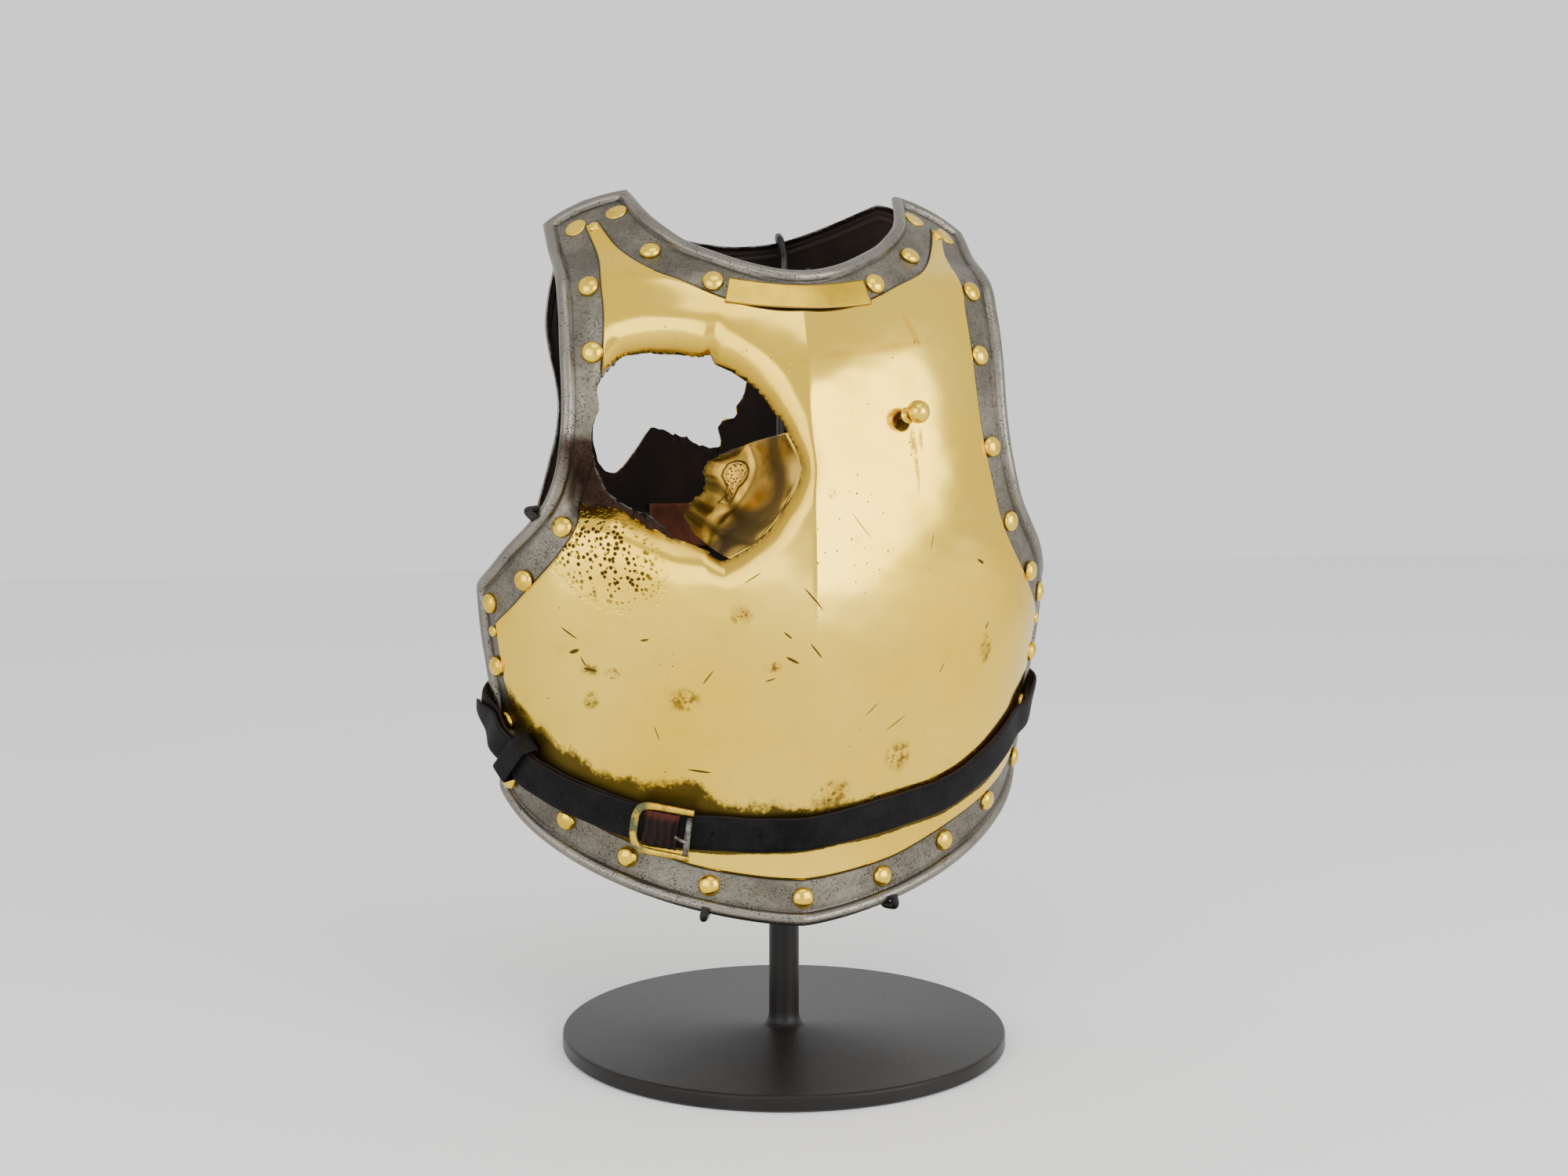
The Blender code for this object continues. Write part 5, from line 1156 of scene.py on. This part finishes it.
creased = sum(np.exp(-c ** 1.3) for c in crease)
rise = rise - 0.0007 * creased + 0.0005 * wobble(V, U, 0.7, 21)
tongue = tongue + normals * (rise * smooth(U * 8))[..., None]
flap = make_piece("folded_tongue", tongue.reshape(-1, 3),
                  facing_out(tongue.reshape(-1, 3), grid_faces(110, 110), normals.reshape(-1, 3)),
                  [tarnished_brass()], ["brass_flap"], "old_brass",
                  {"root": U, "ring": smooth(-key / 0.01), "gnawed": 1 - U,
                   "line": np.exp(-((key - 0.022) / 0.012) ** 2), "fold": creased})
wall(flap, 0.0009)


# %% [markdown]
# ## Belt
# The belt is two straps of thick black leather. A strap is a rounded oblong carried along the
# belt's line: each cross section stands on the path's point with its own outward and upward
# directions. The path keeps above whatever lies under it, as a pulled strap does.

# %% The belt's line
# the plate, degrees round it and share of its height at each station
BELT_LINE = [
    ("back", -50.0, 0.245), ("back", -58.0, 0.240), ("back", -66.0, 0.235), ("back", -74.0, 0.228),
    ("front", -82.0, 0.284), ("front", -77.0, 0.270), ("front", -72.0, 0.248),
    ("front", -67.0, 0.222), ("front", -63.0, 0.205), ("front", -59.0, 0.192),
    ("front", -53.0, 0.179), ("front", -47.0, 0.168), ("front", -41.5, 0.158),
    ("front", -36.5, 0.149), ("front", -32.5, 0.143), ("front", -28.5, 0.138),
    ("front", -24.5, 0.135), ("front", -20.5, 0.132), ("front", -16.0, 0.130),
    ("front", -11.0, 0.128), ("front", -5.5, 0.129), ("front", 0.0, 0.131), ("front", 6.0, 0.134),
    ("front", 12.0, 0.139), ("front", 18.0, 0.145), ("front", 25.0, 0.152), ("front", 32.0, 0.159),
    ("front", 39.0, 0.173), ("front", 46.0, 0.192), ("front", 52.0, 0.209), ("front", 58.0, 0.227),
    ("front", 64.0, 0.244), ("front", 70.0, 0.258), ("front", 76.0, 0.272), ("front", 82.0, 0.284),
    ("back", 74.0, 0.228), ("back", 66.0, 0.235), ("back", 58.0, 0.240), ("back", 50.0, 0.245)]
SHORT_END, TAIL_TIP, KEEPER_AT, BUCKLE_AT = 16, 4, 7, 15
CLEARANCE, KEEPER_LIFT, STEEPEST = 0.0011, 0.0030, 0.40
HOLE_STATIONS = (10.15, 11.75, 17.6, 19.45)
shells = {"front": front, "back": back}
everything = metal_trees + tree_of(back_steel, back_brass, border_rivets)
line_point = np.array([shells[s].point(shells[s].place(a, h)) for s, a, h in BELT_LINE])
line_normal = np.array([shells[s].normal(shells[s].place(a, h)) for s, a, h in BELT_LINE])
line_along = unit(np.gradient(line_point, axis=0))
line_out = unit(line_normal - line_along * (line_normal * line_along).sum(1, keepdims=True))
line_up = np.cross(line_along, line_out)
line_up *= np.sign(line_up[:, 2:3])
run = lengths_along(line_point)
across = np.linspace(-0.5, 0.5, 9) * BELT_WIDTH
ahead = np.linspace(-0.7, 0.7, 9) * BELT_WIDTH
lift = np.array([seat_height([p + a * t + u * w for w in across for t in ahead], o, everything)
                 for p, a, u, o in zip(line_point, line_along, line_up, line_out)]) + CLEARANCE
lift[KEEPER_AT - 1:KEEPER_AT + 2] += KEEPER_LIFT
lift = (lift[None] - np.abs(run[:, None] - run[None]) * STEEPEST).max(axis=1)
print("belt length", round(run[-1], 3), "short strap", round(run[SHORT_END], 3),
      "long strap", round(run[-1] - run[TAIL_TIP], 3))


def at_station(station, column):
    """A column of the line, read smoothly between its stations."""
    column = np.asarray(column)
    if column.ndim == 1:
        return curve_through(station, np.arange(len(column)), column)
    return np.stack([curve_through(station, np.arange(len(column)), column[:, i])
                     for i in range(column.shape[1])], -1)


def strap(name, start, stop, height, material, node, seed, tip=0.0):
    """Section (up, out) = (W/2 cos^0.28 t, L/2 (1 + sin^0.55 t)), carried along the stations."""
    station = np.linspace(start, stop, int((stop - start) * 12))
    point, out, up = (at_station(station, c) for c in (line_point, line_out, line_up))
    out, up = unit(out), unit(up)
    rise = at_station(station, lift) + height(station)
    turn = np.linspace(0, math.tau, 28, endpoint=False) + 0.11
    flat, thick = (np.sign(f) * np.abs(f) ** power
                   for f, power in ((np.cos(turn), 0.28), (np.sin(turn), 0.55)))
    half = np.full(len(station), BELT_WIDTH / 2)
    if tip:
        half = half * (0.10 + 0.90 * np.clip((station - start) / tip, 0, 1) ** 0.8)
    half = half * (1 + 0.012 * wobble(station, 0 * station, 2.5, seed))
    worn = 0.00025 * wobble(station[:, None] * 0.35, flat[None] * 1.2, 0.9, seed + 1)
    x = half[:, None] * flat[None]
    y = LEATHER / 2 * (1 + thick[None]) + worn
    points = (point[:, None] + up[:, None] * x[..., None]
              + out[:, None] * (rise[:, None] + y)[..., None])
    count, sides = points.shape[:2]
    ends = np.concatenate([points[:1].mean(1, keepdims=True).repeat(sides, 1), points,
                           points[-1:].mean(1, keepdims=True).repeat(sides, 1)])
    length = lengths_along(point)
    marks = {"length": np.pad(length, 1, "edge")[:, None] + 0 * flat,
             "cross": np.tile(flat, (count + 2, 1)), "face": np.tile(thick, (count + 2, 1))}
    normals = points - points.mean(1, keepdims=True)
    normals = np.concatenate([normals[:1], normals, normals[-1:]]).reshape(-1, 3)
    faces = facing_out(ends.reshape(-1, 3), grid_faces(count + 2, sides, wrap_columns=True), normals)
    return make_piece(name, ends.reshape(-1, 3), faces, [material], [node], "leather", marks)


def belt_leather(name, holes=()):
    """Black leather: grain, creases across it, a rubbed brown edge, and a line near each side."""
    paint = Paint(name, (0.006, 0.0055, 0.0055), 0.42, 0.0, 0.10)
    length, cross, face = paint.mark("length"), paint.mark("cross"), paint.mark("face")
    cloud, grain = paint.noise(70.0, 4.0, 0.6), paint.cells(900.0)
    crackle = paint.noise(300.0, 3.0, 0.7, (2.0, 2.0, 0.6)).rise(0.56, 0.66)
    colour = paint.mix(cloud.rise(0.38, 0.68), (0.0030, 0.0028, 0.0030), (0.0070, 0.0064, 0.0064))
    colour = paint.mix(crackle * 0.4, colour, (0.020, 0.016, 0.015))
    side = face.math("ABSOLUTE").rise(0.75, 0.30)
    colour = paint.mix(side * 0.6, colour, (0.022, 0.011, 0.008))
    under = face.rise(-0.3, -0.8)
    colour = paint.mix(under * 0.9, colour, (0.040, 0.020, 0.013))
    crease = (cross.math("ABSOLUTE") - 0.86).math("ABSOLUTE").rise(0.035, 0.0) * face.rise(0.3, 0.7)
    height = grain * 0.25 + cloud * 0.5 - crackle * 0.3 - crease * 0.8
    for at in holes:
        dx, dy = (length - at) * 1000.0, cross * (BELT_WIDTH * 500)
        hole = (dx * dx + dy * dy).rise(3.4, 1.9)
        colour = paint.mix(hole, colour, (0.003, 0.002, 0.002))
        height = height - hole * 2.0
    rough = 0.46 + cloud * 0.22 + crackle * 0.15
    return paint.finish(colour, rough, height, 0.0004)


# %% The two straps
AIR = 0.0006
OVER = LEATHER + AIR


def long_height(station):
    return OVER * np.clip(1 - (station - SHORT_END) / 2.4, 0, 1)


tail_holes = at_station(np.array(HOLE_STATIONS), run) - run[TAIL_TIP]
strap("short_strap", 0, SHORT_END, lambda s: 0 * s, belt_leather("short_strap_leather"),
      "belt_short", 31)
strap("long_strap", TAIL_TIP, len(BELT_LINE) - 1, long_height,
      belt_leather("long_strap_leather", tail_holes), "belt_long", 33, 1.2)


# %% [markdown]
# ## Loops
# The keeper, the buckle's frame and the hooks are bars carried along a line, so one function makes
# them: a round or oval section turned into the line's own directions at each point.

# %% A bar along a line
def carried(ahead, flat):
    """Side directions along a path: square to flat if it is given, else turned as little as can be."""
    if flat is not None:
        return unit(np.cross(ahead, flat))
    side = [unit(np.cross(ahead[0], [0.31, 0.17, 0.93]))]
    for step in ahead[1:]:
        side.append(unit(side[-1] - step * side[-1].dot(step)))
    return np.array(side)


def bar_points(path, section, flat=None, closed=False, sides=20, power=1.0):
    """Point = path + a cos t side + b sin t other, where side and other turn with the path."""
    path = np.asarray(path, float)
    ahead = (np.roll(path, -1, 0) - np.roll(path, 1, 0)) if closed else np.gradient(path, axis=0)
    ahead = unit(ahead)
    side = carried(ahead, flat)
    other = np.cross(side, ahead)
    turn = np.linspace(0, math.tau, sides, endpoint=False) + math.pi / sides
    a, b = (np.broadcast_to(v, len(path))[:, None, None] for v in section)
    c, s = (np.sign(f) * np.abs(f) ** power for f in (np.cos(turn), np.sin(turn)))
    around_it = a * c[None, :, None] * side[:, None] + b * s[None, :, None] * other[:, None]
    points = path[:, None] + around_it
    if not closed:
        points = np.concatenate([path[:1, None].repeat(sides, 1), points,
                                 path[-1:, None].repeat(sides, 1)])
        around_it = np.concatenate([around_it[:1], around_it, around_it[-1:]])
    faces = grid_faces(len(points), sides, wrap_rows=closed, wrap_columns=True)
    points = points.reshape(-1, 3)
    return points, facing_out(points, faces, around_it.reshape(-1, 3))


def rounded(corners, radius, steps=8, closed=True):
    """A line of straight runs with its corners rounded by quadratic curves."""
    corners = np.asarray(corners, float)
    count, pieces = len(corners), []
    for k in range(count):
        if not closed and k in (0, count - 1):
            pieces.append(corners[k:k + 1])
            continue
        before, here, after = corners[k - 1], corners[k], corners[(k + 1) % count]
        first = here + unit(before - here) * min(radius, 0.45 * np.linalg.norm(before - here))
        last = here + unit(after - here) * min(radius, 0.45 * np.linalg.norm(after - here))
        t = np.linspace(0, 1, steps)[:, None]
        pieces.append((1 - t) ** 2 * first + 2 * t * (1 - t) * here + t ** 2 * last)
    return np.concatenate(pieces)


def by_belt(station, out, up=0.0, along=0.0):
    """A point by a station: out from the lifted line, up across it, and along it."""
    return (line_point[station] + line_out[station] * (lift[station] + out)
            + line_up[station] * up + line_along[station] * along)


# %% The keeper and the belt's own rivets
LOOP_GAP = 0.0045
low, high, half = -0.0027, LEATHER + OVER + LOOP_GAP, BELT_WIDTH / 2 + LOOP_GAP
ring = rounded([by_belt(KEEPER_AT, low, -half), by_belt(KEEPER_AT, high, -half),
                by_belt(KEEPER_AT, high, half), by_belt(KEEPER_AT, low, half)], 0.0034, 10)
points, faces = bar_points(ring, (0.0009, 0.0065), line_along[KEEPER_AT], True, 24, 0.5)
count = len(points)
make_piece("keeper_loop", points, faces, [belt_leather("keeper_leather")], ["belt_keeper"],
           "leather", {"length": np.zeros(count), "cross": np.zeros(count),
                       "face": np.full(count, 0.9)})
parts = []
for station in (1, len(BELT_LINE) - 2):
    shape = turned_points([(0, 0), (0.0045, 0), (0.0046, 0.0004), (0.0042, 0.0012),
                           (0.0028, 0.0019), (0, 0.0022)], 24)
    parts.append((set_on(shape, by_belt(station, LEATHER + FIT), line_out[station]),
                  grid_faces(6, 24, wrap_columns=True)))
make_piece("belt_rivets", *joined(parts), [rivet_brass], ["belt_rivet_left", "belt_rivet_right"],
           "rivet_brass")


# %% [markdown]
# ## Buckle
# A cast brass frame, bowed on one side, with a steel bar across its open side. The bar carries the
# tongue. The strap's doubled end fills the frame and has shrunk into wrinkles. Green crust sits in
# the inner corner of the bow.

# %% The buckle's frame, bar and tongue
def buckle_finish():
    paint = Paint("buckle_brass", (0.70, 0.50, 0.22), 0.25, 1.0)
    cloud, grain = paint.noise(120.0, 4.0, 0.6), paint.noise(600.0, 4.0, 0.7)
    colour = paint.mix(cloud.rise(0.36, 0.68), (0.74, 0.49, 0.050), (0.38, 0.22, 0.018))
    crust = paint.mark("crust") * cloud.rise(0.38, 0.55)
    colour = paint.mix(grain.rise(0.55, 0.72) * 0.55, colour, (0.10, 0.06, 0.03))
    colour = paint.mix(crust * 0.85, colour, (0.012, 0.050, 0.030))
    return paint.finish(colour, 0.20 + grain * 0.2 + crust * 0.5, grain + crust, 0.0003,
                        1 - crust * 0.9)


def dark_steel():
    paint = Paint("buckle_steel", (0.34, 0.33, 0.32), 0.32, 1.0)
    return two_tone(paint, paint.noise(150.0, 4.0, 0.6), paint.noise(700.0, 4.0, 0.7), (0.36, 0.66),
                    ((0.26, 0.25, 0.235), (0.06, 0.045, 0.035)), (0.26, 0.0, 0.25), 0.0002)


k = BUCKLE_AT
half_l, half_h, thickness, rod = 0.0190, 0.0175, 0.0036, 0.0046
stack = LEATHER + OVER
rise = max((by_belt(j, stack) - by_belt(k, 0)).dot(line_out[k]) for j in range(k - 3, k + 3)) + FIT


def in_buckle(x, z, out):
    """A point in the buckle's own axes: along the strap, up it, and out of it."""
    x, z, out = np.broadcast_arrays(x, z, out)
    return (by_belt(k, rise) + x[..., None] * line_along[k] + z[..., None] * line_up[k]
            + out[..., None] * line_out[k])


bow, top = half_l - rod / 2, half_h - rod / 2
corners = np.array([(half_l, top), (-0.66 * half_l, top), (-bow, 0.52 * top), (-bow, -0.52 * top),
                    (-0.66 * half_l, -top), (half_l, -top)])
line = rounded(np.column_stack([corners, np.zeros(6)]), 0.009, 12, closed=False)
run_of = lengths_along(line)
at = np.linspace(0, run_of[-1], 120)
path = in_buckle(np.interp(at, run_of, line[:, 0]), np.interp(at, run_of, line[:, 1]), thickness / 2)
swell = 1 - 0.10 * np.cos(np.linspace(0, 1, 120) * math.tau)
points, faces = bar_points(path, (rod / 2 * swell * 0.96, thickness / 2 * swell * 0.96), line_out[k],
                           sides=24, power=0.85)
local = points - by_belt(k, rise)
crust = smooth((-local @ line_along[k] - 0.006) / 0.006)
make_piece("buckle_frame", points, faces, [buckle_finish()], ["belt_buckle"], "buckle_brass",
           {"crust": crust})
buckle_steel = dark_steel()
t = np.linspace(-1, 1, 40)
path = in_buckle(half_l - rod / 2, t * (half_h - rod - FIT), thickness / 2)
points, faces = bar_points(path, (rod / 2 * 0.92 * (1 - 0.10 * t ** 2),) * 2)
make_piece("buckle_roller", points, faces, [buckle_steel], ["buckle_bar"], "buckle_steel")
t = np.linspace(0, 1, 40)
lean = thickness / 2 + rod / 2 + FIT + 0.0013
path = in_buckle(half_l - 2 * rod + t * 1.6 * rod, -0.02 * half_h - 0.16 * half_h * t,
                 lean + 0.0006 * np.sin(t * math.pi))
thick = 0.0013 * (1.15 - 0.45 * t ** 3)
points, faces = bar_points(path, (thick, thick * 0.85))
make_piece("buckle_prong", points, faces, [buckle_steel], ["buckle_tongue"], "buckle_steel")


# %% The wrinkled leather in the frame
def worn_leather():
    paint = Paint("worn_leather", (0.012, 0.005, 0.004), 0.5, 0.0, 0.12)
    cloud, fold = paint.noise(120.0, 4.0, 0.6), paint.mark("fold")
    colour = paint.mix(cloud.rise(0.36, 0.66), (0.010, 0.0042, 0.0034), (0.0045, 0.0028, 0.0027))
    colour = paint.mix(fold.rise(0.4, 1.0) * 0.4, colour, (0.022, 0.009, 0.006))
    colour = paint.mix(paint.mark("rim").rise(0.45, 1.0) * 0.75, colour, (0.085, 0.018, 0.010))
    return paint.finish(colour, 0.40 + cloud * 0.3, paint.noise(500.0, 4.0, 0.7), 0.0003)


u, v = np.linspace(-1, 1, 90)[None, :], np.linspace(-1, 1, 60)[:, None]
fill_l, fill_h = (half_l - rod) * 0.74, half_h - rod - 4 * FIT
fold = 0.5 + 0.5 * np.sin(u * 13 + 0.9 * np.sin(v * 2.2 + u * 3) + 0.35 * np.sin(v * 6))
height = thickness * (0.35 + 0.40 * (1 - u * u) * (1 - v ** 4)) + 0.0009 * (fold - 0.5)
points = in_buckle(u * fill_l - 0.02 * half_l + 0 * v, v * fill_h + 0 * u, height).reshape(-1, 3)
towards = np.tile(line_out[k], (len(points), 1))
fill = make_piece("wrinkled_strap_end", points, facing_out(points, grid_faces(60, 90), towards),
                  [worn_leather()], ["buckle_leather"], "worn_leather",
                  {"fold": fold + 0 * v, "rim": v + 0 * u})
wall(fill, 0.0011)


# %% [markdown]
# ## Stand
# The cuirass hangs on a plain dark stand: a round foot, a post, a thinner spine, and wire clips that
# hook round the plates' edges.

# %% The stand
def painted_metal():
    paint = Paint("dark_paint", (0.016, 0.013, 0.012), 0.38, 0.0, 0.22)
    return two_tone(paint, paint.noise(20.0, 4.0), paint.noise(700.0, 3.0, 0.6), (0.35, 0.68),
                    ((0.0075, 0.0066, 0.0060), (0.0125, 0.0110, 0.0100)), (0.30, 0.0, 0.18), 0.00012)


def clip_path(plate, path, share, thickness, slack, root, whole):
    """From the spine to inside the plate, round its bead, and up its outer face."""
    at = share * (SAMPLES - 1)
    even = plate.even(path, SAMPLES - 1)
    near = np.stack([np.interp([at - 1, at, at + 1], np.arange(SAMPLES), even[:, i])
                     for i in (0, 1)], -1)
    point, normal = plate.point(near[1]), plate.normal(near[1])
    inward = unit(plate.point(plate.inset(near, BEAD_WIDTH)[1]) - point)
    reach = 0.0025 + slack
    behind, before = -(thickness + reach), BEAD_HEIGHT + reach
    line = [point + normal * behind * 2 + inward * BEAD_WIDTH, point + normal * behind - inward * reach,
            point + normal * before - inward * reach,
            point + normal * before + inward * BEAD_WIDTH / 2]
    if not whole:
        line = [line[0], line[1], line[1] - inward * 0.0035]
    line = [np.array([0.0, 0.0, root])] + line
    return rounded(line, 0.0030, 8, closed=False)


edge_bend = np.radians(np.linspace(0, 90, 7))
FOOT_FLAT, FOOT_ROUND = 0.138, 0.002
# radius and height: the foot's plate, its collar, the post and the spine
foot = [(0, 0), (FOOT_FLAT, 0), (FOOT_FLAT + FOOT_ROUND, 0.0015)]
foot += [(FOOT_FLAT + FOOT_ROUND * math.cos(a), 0.008 + FOOT_ROUND * math.sin(a)) for a in edge_bend]
foot += [(0.0145, 0.010), (0.0125, 0.0108), (0.0106, 0.0128), (0.0096, 0.016), (0.0095, 0.020),
         (0.0095, 0.325), (0.0092, 0.329), (0.0080, 0.334), (0.0055, 0.3385), (0.0045, 0.343),
         (0.0045, 0.449), (0.0038, 0.4512), (0.0, 0.452)]
parts = [(turned_points(foot, 96), grid_faces(len(foot), 96, wrap_columns=True))]
for plate, path, share, thickness, slack, root, whole in [
        (front, front_edges["bottom"], 0.365, FRONT_STEEL, 0.0003, 0.12, True),
        (front, front_edges["bottom"], 0.640, FRONT_STEEL, 0.0003, 0.12, True),
        (front, front_edges["arm"][::-1] * FLIP, 0.745, FRONT_STEEL, 0.0008, 0.24, True),
        (front, front_edges["neck"], 0.460, FRONT_STEEL, 0.0003, 0.44, False),
        (back, back_edges["neck"], 0.340, BACK_STEEL, 0.0005, 0.44, True)]:
    parts.append(bar_points(clip_path(plate, path, share, thickness, slack, root, whole),
                            (CLIP_RADIUS, CLIP_RADIUS), sides=20))
make_piece("display_stand", *joined(parts), [painted_metal()], ["stand"], "stand", angle=40)


# %% [markdown]
# ## Studio
# A pale floor, a pale wall of light behind, and large soft lights. Polished brass shows what stands
# round it, so the lights are wide panels and the gaps between them give the amber bands.

# %% Floor, world and lights
def matt(name, colour):
    paint = Paint(name, colour, 0.9, 0.0)
    return paint.finish(paint.mix(paint.noise(1.5).rise(0.4, 0.6), colour,
                                  tuple(c * 0.995 for c in colour)))


FLOOR_HALF = 4.0
CHEST = Vector((0, 0, 0.32))
floor_mesh = bpy.data.meshes.new("floor")
floor_mesh.from_pydata([(x * FLOOR_HALF, y * FLOOR_HALF, 0) for x, y in
                        ((-1, -1), (1, -1), (1, 1), (-1, 1))], [], [(0, 1, 2, 3)])
floor_mesh.materials.append(matt("floor_paper", (0.90, 0.90, 0.90)))
floor = bpy.data.objects.new("floor", floor_mesh)
bpy.context.scene.collection.objects.link(floor)

world = bpy.data.worlds.new("studio")
world.use_nodes = True
world.node_tree.nodes["Background"].inputs["Color"].default_value = (1.0, 1.0, 1.0, 1.0)
world.node_tree.nodes["Background"].inputs["Strength"].default_value = 1.15
bpy.context.scene.world = world


def panel(name, azimuth, height, distance, width, tall, power):
    """A square light that looks at the chest from an azimuth."""
    data = bpy.data.lights.new(name, "AREA")
    data.shape, data.size, data.size_y, data.energy = "RECTANGLE", width, tall, power
    light = bpy.data.objects.new(name, data)
    bpy.context.scene.collection.objects.link(light)
    turn = math.radians(azimuth)
    light.location = Vector((distance * math.sin(turn), -distance * math.cos(turn), height))
    light.rotation_euler = (CHEST - light.location).to_track_quat("-Z", "Y").to_euler()


# name, azimuth in degrees, height, distance, width and tallness in metres, power in watts
for row in [("left_panel", -46.0, 0.75, 2.6, 2.4, 2.0, 36.0),
            ("right_panel", 36.0, 0.75, 2.6, 2.2, 2.0, 62.0),
            ("top_panel", 0.0, 2.4, 1.2, 1.6, 1.2, 12.0)]:
    panel(*row)
print("studio lights", len(bpy.data.lights))

# %% Finish
bpy.context.view_layer.update()
